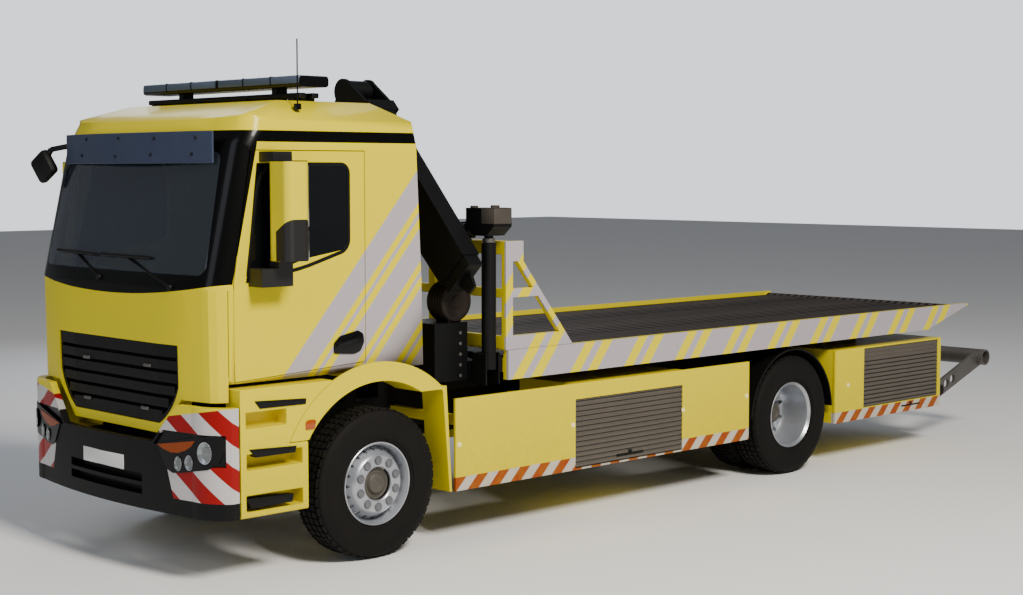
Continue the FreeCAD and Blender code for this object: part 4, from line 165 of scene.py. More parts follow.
def paint(name, foil=None):
    """Lacquered yellow paint; a recipe lays foil in other colours over it."""
    material, tree, shader, spot = new_finish(name)
    x, y, z = add(tree, "SeparateXYZ", {0: spot}).node.outputs
    cloud = add(tree, "TexNoise", {"Vector": spot, "Scale": 1000 / 900, "Detail": 2.0})
    faded = add(tree, "MapRange", {"Value": cloud, "To Max": 0.35})
    plain = layered(tree, YELLOW, (faded, linear("#D2C000")))
    low = add(tree, "MapRange", {"Value": z, "From Min": DUST_TOP, "From Max": DUST_FOOT, "To Max": 0.5})
    specks = add(tree, "TexNoise", {"Vector": spot, "Scale": 1000 / 60, "Detail": 6.0})
    dust = add(tree, "Math", {0: low, 1: specks}, operation="MULTIPLY")
    colour = foil(tree, x, y, z, plain) if foil else plain
    peel = add(tree, "TexNoise", {"Vector": spot, "Scale": 1000 / PEEL_MM, "Detail": 1.0})
    wire(shader, {
        "Base Color": layered(tree, colour, (dust, linear("#A8940E"))),
        "Roughness": add(tree, "MapRange", {"Value": dust, "To Min": 0.3, "To Max": 0.75}),
        "Specular IOR Level": 0.1,
        "Coat Weight": 0.12,
        "Coat Roughness": 0.05,
        "Normal": add(tree, "Bump", {"Height": peel, "Distance": 0.00012, "Strength": 0.25})})
    return material


# %% [markdown]
# ## Foil on the paint
# Foil could be cut out as thin meshes, but then it would float over each panel's curve. A mask in the paint
# follows every panel by itself. On the cab wide silver bands climb to the rear with a thin one between, on
# the bed's rail pairs of yellow diagonals cross the silver, and the skirt's lower edge is red and white.

# %% Foil recipes
# Heights, places and periods are in metres; bands and stripes are shares of their period.
BAND_SLOPE = 1.16
BAND_START = 6.18
BAND_PERIOD = 0.435
WIDE_BAND = (None, 0.56)
THIN_BAND = (0.72, 0.82)
BAND_TOP = 2.80
CAB_SIDE = 1.146
ROOF_SEAM = (2.915, 2.992)
PILLAR_SLOPE = 0.225
PILLAR_EDGE = -5.012
COWL_MIDDLE = 0.07
COWL_CURVE = 0.066
COWL_HEIGHT = 1.885
WELL_HALF_WIDTH = 0.772
WELL_HEIGHTS = (1.035, 1.565)
WELL_FRONT = -4.735
SKIRT_PERIOD = 0.22
SKIRT_SIDE = 1.2
SKIRT_EDGE = 0.485
RAIL_SLOPE = 0.79
RAIL_START = 13.02
RAIL_PERIOD = 0.622
RAIL_STRIPES = ((0.0, 0.18), (0.32, 0.50))
RAIL_FACE = 1.2435


def cowl_edge(tree, x, z):
    """A mask above the shallow arc where the black foot of the windscreen meets the yellow panel."""
    off = add(tree, "Math", {0: x, 1: COWL_MIDDLE}, operation="ADD")
    square = add(tree, "Math", {0: off, 1: off}, operation="MULTIPLY")
    return where(tree, (slant(tree, square, z, COWL_CURVE), COWL_HEIGHT, None))


def cab_side_foil(tree, x, y, z, plain):
    """Silver bands on the cab's side, the dark seam of the roof and the black windscreen pillar."""
    across = slant(tree, y, z, BAND_SLOPE)
    reach = add(tree, "Math", {0: x}, operation="ABSOLUTE")
    beat = repeat(tree, add(tree, "Math", {0: BAND_START, 1: across}, operation="SUBTRACT"), BAND_PERIOD)
    side = [(reach, CAB_SIDE, None), (across, None, BAND_START), (z, None, BAND_TOP)]
    wide = where(tree, (beat, *WIDE_BAND), *side)
    thin = where(tree, (beat, *THIN_BAND), *side)
    seam = where(tree, (z, *ROOF_SEAM))
    front = slant(tree, z, y, PILLAR_SLOPE)
    pillar = where(tree, (cowl_edge(tree, x, z), 0.5, None), (front, None, PILLAR_EDGE))
    return layered(tree, plain, (wide, SILVER_FOIL), (thin, SILVER_FOIL), (seam, SEAM_BLACK),
                   (pillar, SEAM_BLACK))


def grille_well(tree, x, y, z, plain):
    """Black inside the grille's opening, and on the strip under the windscreen."""
    reach = add(tree, "Math", {0: x}, operation="ABSOLUTE")
    well = where(tree, (reach, None, WELL_HALF_WIDTH), (z, *WELL_HEIGHTS), (y, WELL_FRONT, None))
    return layered(tree, plain, (well, SEAM_BLACK), (cowl_edge(tree, x, z), SEAM_BLACK))


def skirt_chevrons(tree, x, y, z, plain):
    """Red and white diagonals along the skirt's lower edge."""
    red = where(tree, (repeat(tree, slant(tree, y, z, 1.0), SKIRT_PERIOD), None, 0.5))
    reach = add(tree, "Math", {0: x}, operation="ABSOLUTE")
    edge = where(tree, (reach, SKIRT_SIDE, None), (z, None, SKIRT_EDGE))
    return layered(tree, plain, (edge, layered(tree, WHITE_FOIL, (red, RED_FOIL))))


def rail_bands(tree, x, y, z, plain):
    """Silver with pairs of yellow diagonals, on the outermost faces of the bed's rail and the headboard."""
    along = add(tree, "Math", {0: slant(tree, z, y, RAIL_SLOPE), 1: RAIL_START}, operation="ADD")
    beat = repeat(tree, along, RAIL_PERIOD)
    reach = add(tree, "Math", {0: x}, operation="ABSOLUTE")
    silver = (where(tree, (reach, RAIL_FACE, None)), SILVER_FOIL)
    return layered(tree, plain, silver, *[(where(tree, (beat, *stripe)), plain) for stripe in RAIL_STRIPES])


lacquer = paint("lacquered_paint")
cab_lacquer = paint("lacquered_paint_with_side_foil", cab_side_foil)
skirt_lacquer = paint("lacquered_paint_with_skirt_foil", skirt_chevrons)
panel_lacquer = paint("lacquered_paint_with_grille_well", grille_well)
board_lacquer = paint("lacquered_paint_with_board_foil", rail_bands)

# %% [markdown]
# ## Bare and coated metal
# Chassis and crane are dip-coated steel: almost black, half matt and uneven where grime sits. Rims are
# silver stove enamel over steel, the tail bar and the rings on the legs are zinc-coated, and hubs are dusty
# cast iron. Each could be a network of its own, but grime and a fine grain are what they share, so that one
# recipe makes them all.


# %% Metals
def metal(name, colour, dark, roughness, metallic, grain_mm=14, relief_mm=0.15):
    """A metal or a coat on metal whose colour and roughness wander with grime."""
    material, tree, shader, spot = new_finish(name)
    grime = add(tree, "TexNoise", {"Vector": spot, "Scale": 1000 / 220, "Detail": 5.0})
    fine = add(tree, "TexNoise", {"Vector": spot, "Scale": 1000 / grain_mm, "Detail": 4.0})
    tone = add(tree, "MapRange", {"Value": grime, "To Min": -0.3, "To Max": 1.0})
    wire(shader, {
        "Base Color": layered(tree, linear(colour), (tone, linear(dark))),
        "Roughness": add(tree, "MapRange", {
            "Value": fine, "To Min": roughness - 0.08, "To Max": roughness + 0.12}),
        "Specular IOR Level": 0.5 if metallic else 0.2,
        "Metallic": metallic,
        "Normal": add(tree, "Bump", {"Height": fine, "Distance": relief_mm / 1000, "Strength": 0.4})})
    return material


coated_steel = metal("dip_coated_steel", "#07080A", "#030304", 0.5, 0.0)
cast_iron = metal("cast_iron", "#151413", "#0B0A0A", 0.7, 0.0, 6, 0.4)
silver_enamel = metal("silver_stove_enamel", "#B9BDC4", "#8E929B", 0.32, 0.7, 10, 0.05)
zinc = metal("zinc_coated_steel", "#6E6B68", "#4A4745", 0.45, 0.6)
nut_steel = metal("oiled_nut_steel", "#76777E", "#5C5D63", 0.45, 0.5, 12, 0.05)
hub_iron = metal("dusty_cast_hub", "#55514A", "#3D3A35", 0.6, 0.2, 12, 0.3)
chrome = metal("chromed_steel", "#D0D3D6", "#B4B8BC", 0.12, 1.0, 20, 0.02)
casing_grey = metal("grey_coated_casing", "#4A4540", "#37332F", 0.55, 0.0)
frame_grey = metal("primed_steel", "#2A2C2F", "#1A1B1D", 0.5, 0.0)

# %% [markdown]
# ## Locker shutters and the bed's planks
# A roller shutter is made of anodised aluminium slats, one every 40 mm with a groove between each two. The
# bed is floored with phenolic-faced planks whose ridges are worn. Both could be modelled slat by slat, but a
# mask with a relief gives the same edges from any distance that shows the whole truck. The planks' ridges
# stand 92 mm apart here, coarser than real ones, so that they show.

# %% Shutter slats and planks
SLAT = 0.04
SLAT_TOP = 0.96
GROOVE_SHARE = 0.22
RIDGE = 0.092
GAP_SHARE = 0.4
BED_INSIDE = 1.2
STREAKS = (30.0, 1.2, 30.0)  # about 33 mm wide and 830 mm long


def slats():
    """Anodised slats with a dark groove between each two."""
    material, tree, shader, spot = new_finish("anodised_aluminium_slats")
    z = add(tree, "SeparateXYZ", {0: spot}, "Z")
    groove = where(tree, (repeat(tree, z, SLAT), None, GROOVE_SHARE), (z, None, SLAT_TOP))
    patches = add(tree, "TexNoise", {"Vector": spot, "Scale": 1000 / 300, "Detail": 4.0})
    raised = add(tree, "Math", {0: 1.0, 1: groove}, operation="SUBTRACT")
    wire(shader, {
        "Base Color": layered(tree, linear("#635C53"), (patches, linear("#544E46")),
                              (groove, linear("#1F1C19"))),
        "Metallic": 0.35,
        "Roughness": 0.45,
        "Normal": add(tree, "Bump", {"Height": raised, "Distance": 0.004, "Strength": 0.8})})
    return material


def planks_and_rail():
    """Foil on the bed's rails, and dark worn planks between them."""
    material, tree, shader, spot = new_finish("bed_planks_and_foil")
    x, y, z = add(tree, "SeparateXYZ", {0: spot}).node.outputs
    rail = where(tree, (add(tree, "Math", {0: x}, operation="ABSOLUTE"), BED_INSIDE, None))
    streaks = add(tree, "Mapping", {"Vector": spot, "Scale": STREAKS})
    grain = add(tree, "TexNoise", {"Vector": streaks, "Scale": 1.0, "Detail": 6.0})
    beat = repeat(tree, x, RIDGE)
    ridge = where(tree, (beat, GAP_SHARE, None))
    relief = add(tree, "Math", {0: grain, 1: ridge}, operation="ADD")
    wood = layered(tree, linear("#4A423D"), (grain, linear("#332D29")),
                   (where(tree, (beat, None, GAP_SHARE)), linear("#060504")))
    wire(shader, {
        "Base Color": layered(tree, wood, (rail, rail_bands(tree, x, y, z, YELLOW))),
        "Roughness": add(tree, "MapRange", {"Value": rail, "To Min": 0.62, "To Max": 0.36}),
        "Specular IOR Level": 0.2,
        "Normal": add(tree, "Bump", {"Height": relief, "Distance": 0.002, "Strength": 0.5})})
    return material


shutter_alloy = slats()
plank_floor = planks_and_rail()

# %% [markdown]
# ## Rubber, plastic and glass
# Tyre rubber is carbon black, matt with a faint brown bloom. The grille is moulded polypropylene with a fine
# grain, drawn at 2 mm so that it shows, and lamp housings are gloss ABS. Glass is soda-lime with a blue-grey
# tint, and lenses are polycarbonate. Rubber and plastic share one recipe, and glass and clear lenses share
# another. Small lenses that look opaque from outside use the first one too, as the enamelled plate does. The
# front turn lamps use a darker, opaque copy of the amber lens, which is painted shade.


# %% Plastics, rubber and glass
def moulded(name, colour, roughness, grain_mm, relief_mm, dusty):
    """Grained plastic or rubber with a patchy bloom of dust."""
    material, tree, shader, spot = new_finish(name)
    cloud = add(tree, "TexNoise", {"Vector": spot, "Scale": 1000 / 150, "Detail": 5.0})
    grain = add(tree, "TexNoise", {"Vector": spot, "Scale": 1000 / grain_mm, "Detail": 2.0})
    bloom = add(tree, "MapRange", {"Value": cloud, "To Min": -0.4, "To Max": 0.7})
    wire(shader, {
        "Base Color": layered(tree, linear(colour), (bloom, linear(dusty))),
        "Roughness": add(tree, "MapRange", {
            "Value": cloud, "To Min": roughness - 0.06, "To Max": roughness + 0.1}),
        "Specular IOR Level": 0.22,
        "Normal": add(tree, "Bump", {"Height": grain, "Distance": relief_mm / 1000, "Strength": 0.5})})
    return material


def glass(name, colour, roughness, transmission, dust):
    """Tinted glass or a lens with a trace of dust on it."""
    material, tree, shader, spot = new_finish(name)
    film = add(tree, "TexNoise", {"Vector": spot, "Scale": 1000 / 300, "Detail": 4.0})
    wire(shader, {
        "Base Color": layered(tree, linear(colour), (film, linear(dust))),
        "Roughness": add(tree, "MapRange", {"Value": film, "To Min": roughness, "To Max": roughness + 0.05}),
        "Transmission Weight": transmission,
        "IOR": 1.5})
    return material


rubber = moulded("tyre_rubber", "#080706", 0.75, 5.0, 0.5, "#16120F")
hose_rubber = moulded("ribbed_hose_rubber", "#1C1613", 0.6, 4.0, 0.3, "#241C18")
black_plastic = moulded("grained_polypropylene", "#060606", 0.5, 2.0, 0.2, "#0C0C0C")
gloss_black = moulded("gloss_black_abs", "#050506", 0.25, 8.0, 0.02, "#0A0A0B")
dash_plastic = moulded("soft_touch_dashboard", "#0E0E10", 0.6, 2.5, 0.3, "#161618")
visor_plastic = moulded("smoked_acrylic", "#3A4256", 0.3, 30.0, 0.02, "#333A4C")
bar_plastic = moulded("smoked_lamp_cover", "#525E74", 0.3, 30.0, 0.02, "#495468")
# A darker, opaque copy of the amber lens: painted shade on the front turn lamps.
amber_lens_painted_shade = moulded("amber_lens_with_painted_shade", "#8A3C08", 0.25, 12.0, 0.02, "#7A3406")
marker_lens = moulded("pale_yellow_marker", "#FFF3A0", 0.2, 12.0, 0.02, "#F2E27A")
plate_enamel = moulded("white_plate_enamel", "#D8D8D4", 0.3, 60, 0.01, "#C9C8C2")
window_glass = glass("tinted_window_glass", "#8E9DB4", 0.02, 0.95, "#8796AA")
# The door glass is drawn nearly black and lets through less light than the windscreen.
dark_door_glass = glass("nearly_black_door_glass", "#0B0C0E", 0.03, 0.3, "#121417")
lens_glass = glass("clear_polycarbonate", "#E6EAEC", 0.04, 0.85, "#A9B0B4")
amber_lens = glass("amber_polycarbonate", "#C4560B", 0.12, 0.3, "#A84A0C")
red_lens = glass("red_polycarbonate", "#9C0B0E", 0.12, 0.3, "#860C0E")

# %% [markdown]
# ## Seat cloth
# Truck seats wear a coarse flat-woven cloth with a thread spacing of about 3 mm. A photograph of cloth could
# be laid on; two crossed sine waves give the same over-and-under of threads at the right size.

# %% Seat cloth
THREAD = 2094.0  # radians per metre, so that one wave is a thread of 3 mm


def seat_cloth():
    """Flat woven cloth: crossed threads from two sine waves."""
    material, tree, shader, spot = new_finish("woven_seat_cloth")
    x, y, z = add(tree, "SeparateXYZ", {0: spot}).node.outputs
    waves = []
    for way in (x, add(tree, "Math", {0: y, 1: z}, operation="ADD")):
        turns = add(tree, "Math", {0: way, 1: THREAD}, operation="MULTIPLY")
        waves.append(add(tree, "Math", {0: turns}, operation="SINE"))
    threads = add(tree, "Math", {0: waves[0], 1: waves[1]}, operation="MULTIPLY")
    tone = add(tree, "MapRange", {"Value": threads, "To Min": 0.2, "To Max": 0.8})
    wire(shader, {
        "Base Color": layered(tree, linear("#26272C"), (tone, linear("#3A3B42"))),
        "Roughness": 0.9,
        "Sheen Weight": 0.3,
        "Normal": add(tree, "Bump", {"Height": threads, "Distance": 0.0006, "Strength": 0.6})})
    return material


cloth = seat_cloth()

# %% [markdown]
# ## Bumper and mirrors
# The bumper is one moulding of dark plastic, but red and white foil covers its raised corners down to the
# black lip, and their top is painted yellow. Each mirror has a painted cover on its tall housing, and black
# plastic below and behind. As on the paint, masks set the borders, because one moulding has one mesh.


# %% Two-tone mouldings
BUMPER_LIP = 0.56
CORNER_EDGE, CORNER_SLOPE = 0.965, -0.3
PAINT_EDGE, PAINT_SLOPE = 0.985, 0.16
CHEVRON_PERIOD, CHEVRON_SLOPE = 0.29, -0.62
COVER_HEIGHTS = (2.13, 2.783)
COVER_SIDE = 1.24
WIDE_GLASS_SIDE = 1.33
WIDE_GLASS_EDGE, WIDE_GLASS_SLOPE = 1.53, 0.6


def bumper_finish():
    """Dark grained plastic with chevron foil and paint on the raised corners."""
    material, tree, shader, spot = new_finish("bumper_plastic_with_foil")
    x, y, z = add(tree, "SeparateXYZ", {0: spot}).node.outputs
    reach = add(tree, "Math", {0: x}, operation="ABSOLUTE")
    corner = where(tree, (slant(tree, z, reach, CORNER_SLOPE), CORNER_EDGE, None), (z, BUMPER_LIP, None))
    painted = where(tree, (slant(tree, reach, z, PAINT_SLOPE), PAINT_EDGE, None))
    round_corner = add(tree, "Math", {0: reach, 1: y}, operation="ADD")
    stripes = repeat(tree, slant(tree, round_corner, z, CHEVRON_SLOPE), CHEVRON_PERIOD)
    red = where(tree, (stripes, None, 0.5))
    foil = layered(tree, WHITE_FOIL, (red, RED_FOIL), (painted, YELLOW))
    grain = add(tree, "TexNoise", {"Vector": spot, "Scale": 1000 / 3, "Detail": 2.0})
    wire(shader, {
        "Base Color": layered(tree, linear("#060607"), (grain, linear("#0D0C0D")), (corner, foil)),
        "Roughness": add(tree, "MapRange", {"Value": corner, "To Min": 0.55, "To Max": 0.3}),
        "Specular IOR Level": 0.2,
        "Normal": add(tree, "Bump", {"Height": grain, "Distance": 0.0002, "Strength": 0.3})})
    return material


def mirror_finish():
    """Yellow cover above the wide-angle glass, black plastic elsewhere."""
    material, tree, shader, spot = new_finish("mirror_cover")
    x, _, z = add(tree, "SeparateXYZ", {0: spot}).node.outputs
    reach = add(tree, "Math", {0: x}, operation="ABSOLUTE")
    wide_glass = where(tree, (slant(tree, reach, z, WIDE_GLASS_SLOPE), None, WIDE_GLASS_EDGE),
                       (reach, WIDE_GLASS_SIDE, None))
    cover = where(tree, (z, *COVER_HEIGHTS), (reach, COVER_SIDE, None), (wide_glass, None, 0.5))
    grain = add(tree, "TexNoise", {"Vector": spot, "Scale": 1000 / 4, "Detail": 2.0})
    wire(shader, {
        "Base Color": layered(tree, linear("#0B0909"), (cover, YELLOW)),
        "Roughness": add(tree, "MapRange", {"Value": cover, "To Min": 0.5, "To Max": 0.28}),
        "Normal": add(tree, "Bump", {"Height": grain, "Distance": 0.00012, "Strength": 0.3})})
    return material


bumper_foil = bumper_finish()
mirror_cover = mirror_finish()

# %% [markdown]
# ## Which solid gets which finish
# Each solid could be given its finish one by one in the material tab. A table keeps the whole choice in one
# place, and the line it prints would name a solid that was left without one.

# %% Give every solid its finish
FINISH = {
    lacquer: ["cab_steps", "front_fenders", "cab_roof"],
    panel_lacquer: ["front_panel"],
    board_lacquer: ["headboard"],
    cab_lacquer: ["cab_shell", "door_left", "door_right"],
    skirt_lacquer: ["side_panels"],
    plank_floor: ["bed_platform"],
    coated_steel: ["frame_rails", "crane_base", "inner_boom", "outer_boom", "boom_extension",
                   "stabiliser_beam_left", "stabiliser_beam_right", "stabiliser_leg_left",
                   "stabiliser_leg_right"],
    zinc: ["tail_bar"],
    cast_iron: ["engine_block", "front_axle", "rear_axle", "knuckle_left", "knuckle_right", "cab_mounts"],
    silver_enamel: ["rim_front_left", "rim_front_right", "rims_rear_left", "rims_rear_right"],
    shutter_alloy: ["roller_shutters"],
    frame_grey: ["tilt_frame"],
    rubber: ["tyre_front_left", "tyre_front_right", "tyres_rear_left", "tyres_rear_right"],
    black_plastic: ["grille", "rear_mudguards"],
    gloss_black: ["roof_equipment", "headlamps"],
    visor_plastic: ["sun_visor"],
    dash_plastic: ["dashboard"],
    cloth: ["seats"],
    window_glass: ["windscreen"],
    dark_door_glass: ["door_glass_left", "door_glass_right"],
    bumper_foil: ["front_bumper"],
    mirror_cover: ["mirror_left", "mirror_right"],
}
for finish, names in FINISH.items():
    for name in names:
        nodes[name].data.materials.clear()
        nodes[name].data.materials.append(finish)
print("solids without a finish:", sorted(set(nodes) - {n for names in FINISH.values() for n in names}))

# %% [markdown]
# ## Tools for modelling
# Each new piece starts from a primitive at its real size and place. What stands on both sides is modelled on
# the left, and its mirrored copy has its faces turned back outwards.


# %% Selecting, applying and finishing
def nothing_selected():
    """Leaves object mode with nothing selected."""
    if bpy.context.object and bpy.context.object.mode != "OBJECT":
        bpy.ops.object.mode_set(mode="OBJECT")
    bpy.ops.object.select_all(action="DESELECT")


def pick(piece):
    """Selects one piece alone and makes it active."""
    nothing_selected()
    piece.select_set(True)
    bpy.context.view_layer.objects.active = piece


def edit_all():
    """Enters edit mode with everything selected."""
    bpy.ops.object.mode_set(mode="EDIT")
    bpy.ops.mesh.select_all(action="SELECT")


def settle():
    """Applies the place, turn and size of what is selected to its mesh."""
    bpy.ops.object.transform_apply(location=True, rotation=True, scale=True)


def modified(piece, name, kind, **settings):
    """Adds a modifier with its settings and applies it."""
    pick(piece)
    made = piece.modifiers.new(name, kind)
    for key, value in settings.items():
        setattr(made, key, value)
    bpy.ops.object.modifier_apply(modifier=name)
    return piece


def finish_piece(piece, name, material, body, smooth=30):
    """Applies a piece's place, shades it and hangs it on its body."""
    pick(piece)
    settle()
    bpy.ops.object.shade_smooth_by_angle(angle=math.radians(smooth))
    piece.name = name
    piece.data.materials.clear()
    piece.data.materials.append(material)
    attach(piece, body)
    print("piece:", name, "faces:", len(piece.data.polygons))
    return piece


def mirrored(piece, name, body):
    """A copy with its own mesh on the vehicle's other side."""
    twin = piece.copy()
    twin.data = piece.data.copy()
    bpy.context.collection.objects.link(twin)
    twin.parent = None
    pick(twin)
    twin.scale = (-1, 1, 1)
    settle()
    edit_all()
    bpy.ops.mesh.flip_normals()
    bpy.ops.object.mode_set(mode="OBJECT")
    twin.name = name
    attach(twin, body)
    print("piece:", name, "faces:", len(twin.data.polygons))
    return twin


def both_sides(piece, name, material):
    """Finishes a piece of the chassis on the left and mirrors it to the right."""
    left = finish_piece(piece, f"{name}_left", material, "chassis")
    mirrored(left, f"{name}_right", "chassis")


# %% Blocks, bars and turned pieces
def bevelled(piece, width):
    """Rounds a piece's edges by a width."""
    pick(piece)
    bpy.ops.object.transform_apply(location=False, rotation=False, scale=True)
    return modified(piece, "rounding", "BEVEL", width=width, segments=2, limit_method="ANGLE")


def slab(low, high, rounding, turn=(0, 0, 0)):
    """A rounded block between two corners, turned about its middle."""
    nothing_selected()
    low, high = Vector(low), Vector(high)
    bpy.ops.mesh.primitive_cube_add(size=1, location=(low + high) / 2)
    piece = bpy.context.object
    piece.scale = high - low
    bevelled(piece, rounding)
    piece.rotation_euler = turn
    return piece


def bar(start, end, radius, sides, rounding=0.0):
    """A round bar from one point to another."""
    nothing_selected()
    start, end = Vector(start), Vector(end)
    bpy.ops.mesh.primitive_cylinder_add(vertices=sides, radius=radius, depth=(end - start).length,
                                        location=(start + end) / 2)
    piece = bpy.context.object
    piece.rotation_euler = (end - start).to_track_quat("Z", "Y").to_euler()
    return bevelled(piece, rounding) if rounding else piece


def joined(pieces):
    """Joins several pieces into one."""
    nothing_selected()
    for piece in pieces:
        piece.select_set(True)
    settle()
    bpy.context.view_layer.objects.active = pieces[0]
    bpy.ops.object.join()
    return bpy.context.object


def lone_vertex(place):
    """A mesh of one vertex, left in edit mode, to be extruded."""
    nothing_selected()
    bpy.ops.mesh.primitive_plane_add(size=0.01, location=place)
    settle()
    bpy.ops.object.mode_set(mode="EDIT")
    bpy.ops.mesh.merge(type="CENTER")


def turned(section, centre, steps=72):
    """Extrudes one vertex along a section of (along the axle, radius), then spins it about the axle."""
    lone_vertex(Vector(centre) + Vector((section[0][0], 0, section[0][1])))
    for before, after in zip(section, section[1:]):
        bpy.ops.mesh.extrude_region_move(TRANSFORM_OT_translate={
            "value": (after[0] - before[0], 0, after[1] - before[1])})
    bpy.ops.mesh.select_all(action="SELECT")
    bpy.ops.mesh.spin(steps=steps, angle=math.tau, center=centre, axis=(1, 0, 0))
    bpy.ops.mesh.select_all(action="SELECT")
    bpy.ops.mesh.remove_doubles(threshold=0.0002)
    bpy.ops.mesh.normals_make_consistent(inside=False)
    bpy.ops.object.mode_set(mode="OBJECT")
    return bpy.context.object


def ring_of(piece, count, centre):
    """Repeats a whole piece in a circle about an axle, within its own mesh."""
    pick(piece)
    settle()
    edit_all()
    bpy.ops.mesh.spin(steps=count - 1, dupli=True, angle=math.tau * (count - 1) / count, center=centre,
                      axis=(1, 0, 0))
    bpy.ops.object.mode_set(mode="OBJECT")
    return piece


# %% Plates from an outline
def outline_face(points, corner):
    """A flat face: one vertex is extruded from point to point, its corners are rounded, and it is filled."""
    points = [Vector(p) for p in points]
    lone_vertex(points[0])
    for before, after in zip(points, points[1:] + points[:1]):
        bpy.ops.mesh.extrude_region_move(TRANSFORM_OT_translate={"value": after - before})
    bpy.ops.mesh.select_all(action="SELECT")
    bpy.ops.mesh.remove_doubles(threshold=0.0005)
    if corner:
        bpy.ops.mesh.bevel(offset=corner, segments=6, affect="VERTICES")
        bpy.ops.mesh.select_all(action="SELECT")
    bpy.ops.mesh.edge_face_add()
    bpy.ops.object.mode_set(mode="OBJECT")
    return bpy.context.object


def plate(points, out, rounding, corner=0.0):
    """A plate with rounded edges from its outline, thickened along a direction."""
    piece = outline_face(points, corner)
    edit_all()
    bpy.ops.mesh.extrude_region_move(TRANSFORM_OT_translate={"value": out})
    bpy.ops.mesh.select_all(action="SELECT")
    bpy.ops.mesh.normals_make_consistent(inside=False)
    bpy.ops.object.mode_set(mode="OBJECT")
    return bevelled(piece, rounding)


# %% [markdown]
# ## Panels with soft corners
# The cab's corners are rolled sheet, but its solid has flat facets there. A copy of the panel is merged to
# one skin and shaded smooth across shallow edges, with flat faces weighted most, so that the corner rolls
# while the side stays flat. Where a real edge is folded, a bevel rolls it by a width.


# %% Smooth cab panels
def soft_copy(node, body, angle=34, rolled=0.0):
    """A merged and smoothly shaded copy of a solid that stands for it, its sharp edges rolled by a width."""
    piece = nodes[node].copy()
    piece.data = nodes[node].data.copy()
    for key in list(piece.keys()):
        if key.startswith("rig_"):
            del piece[key]
    piece.parent = None
    bpy.context.collection.objects.link(piece)
    pick(piece)
    edit_all()
    bpy.ops.mesh.remove_doubles(threshold=0.0001)
    if rolled:
        bpy.ops.mesh.dissolve_limited(angle_limit=math.radians(2))
    bpy.ops.object.mode_set(mode="OBJECT")
    if rolled:
        modified(piece, "rolled_edge", "BEVEL", width=rolled, segments=4, limit_method="ANGLE",
                 angle_limit=math.radians(50))
    bpy.ops.object.shade_smooth_by_angle(angle=math.radians(angle))
    modified(piece, "weight", "WEIGHTED_NORMAL", keep_sharp=True)
    piece.name = node + "_skin"
    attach(piece, body)
    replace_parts(piece, node)
    print("skin:", node, "faces:", len(piece.data.polygons))


for node in ("cab_shell", "cab_roof", "front_panel"):
    soft_copy(node, "cab")
soft_copy("windscreen", "cab")
soft_copy("door_left", "door_left")
soft_copy("door_right", "door_right")
soft_copy("front_fenders", "chassis", 40, 0.022)
soft_copy("cab_steps", "chassis", 40, 0.012)
soft_copy("sun_visor", "cab", 40, 0.006)
soft_copy("mirror_left", "door_left", 40, 0.014)
soft_copy("mirror_right", "door_right", 40, 0.014)
soft_copy("headboard", "bed", 40, 0.004)

# %% [markdown]
# ## Tyres
# A truck tyre is a ring of rubber with rounded shoulders, bulging side walls and a ribbed tread. It could be
# one block repeated round, but its walls would then show joints. Here one section of (along the axle,
# radius) is spun, and one tread block of each rib is modelled and repeated round on it.

# %% Tyres
TYRE_HALF = [
    (-0.118, 0.297), (-0.135, 0.306), (-0.149, 0.345), (-0.150, 0.410), (-0.146, 0.468), (-0.139, 0.498),
    (-0.128, 0.512), (-0.118, 0.517), (-0.094, 0.519), (-0.090, 0.510), (-0.084, 0.510), (-0.080, 0.519),
    (-0.034, 0.520), (-0.030, 0.510), (-0.024, 0.510), (-0.020, 0.520)]
TYRE_SECTION = TYRE_HALF + [(-across, radius) for across, radius in reversed(TYRE_HALF)]
RIBS = [(-0.117, -0.096, 48), (-0.078, -0.036, 60), (-0.018, 0.018, 60), (0.036, 0.078, 60),
        (0.096, 0.117, 48)]
WALL_RINGS = [
    [(0.1475, 0.462), (0.1496, 0.458), (0.1496, 0.452), (0.1475, 0.448), (0.1475, 0.462)],
    [(0.1470, 0.335), (0.1492, 0.331), (0.1492, 0.325), (0.1450, 0.321), (0.1470, 0.335)]]
TREAD_RADIUS = 0.52
BLOCK_FOOT = 2 * WHEEL_RADIUS - 0.017
BLOCK_TOP = 2 * WHEEL_RADIUS - 0.0008
BLOCK_SHARE = 0.42  # half a block's length as a share of the pitch
OUTER_X = 1.085
INNER_X = 0.739


def tyre(x, y):
    """One tyre with its tread blocks and two raised rings on each wall."""
    centre = (x, y, WHEEL_RADIUS)
    parts = [turned(TYRE_SECTION, centre)]
    for low, high, count in RIBS:
        half = math.tau * TREAD_RADIUS / count * BLOCK_SHARE
        block = slab((x + low, y - half, BLOCK_FOOT), (x + high, y + half, BLOCK_TOP), 0.002)
        parts.append(ring_of(block, count, centre))
    for side in (-1, 1):
        parts += [turned([(side * across, radius) for across, radius in ring], centre) for ring in WALL_RINGS]
    return joined(parts)


front_tyre = finish_piece(tyre(OUTER_X, FRONT_AXLE), "tyre_front_left_tread", rubber, "wheel_front_left")
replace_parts(front_tyre, "tyre_front_left")
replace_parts(mirrored(front_tyre, "tyre_front_right_tread", "wheel_front_right"), "tyre_front_right")
rear_tyres = finish_piece(joined([tyre(OUTER_X, REAR_AXLE), tyre(INNER_X, REAR_AXLE)]),
                          "tyres_rear_left_tread", rubber, "wheels_rear_left")
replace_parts(rear_tyres, "tyres_rear_left")
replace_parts(mirrored(rear_tyres, "tyres_rear_right_tread", "wheels_rear_right"), "tyres_rear_right")

# %% [markdown]
# ## Rims
# A truck rim is a rolled barrel with a pressed disc welded in. The front disc stands out beyond the flange,
# and a ring of small slots in its cone cools the brake. The rear one is dished in, so that two rims can
# share a hub. The slots are cut by a ring of drills with a Boolean, as a press would punch them. Nuts and
# hub are other metals, so they are pieces of their own.


# %% Rims, nuts and hubs
NUT_CIRCLE = 0.1655
NUT_COUNT = 10


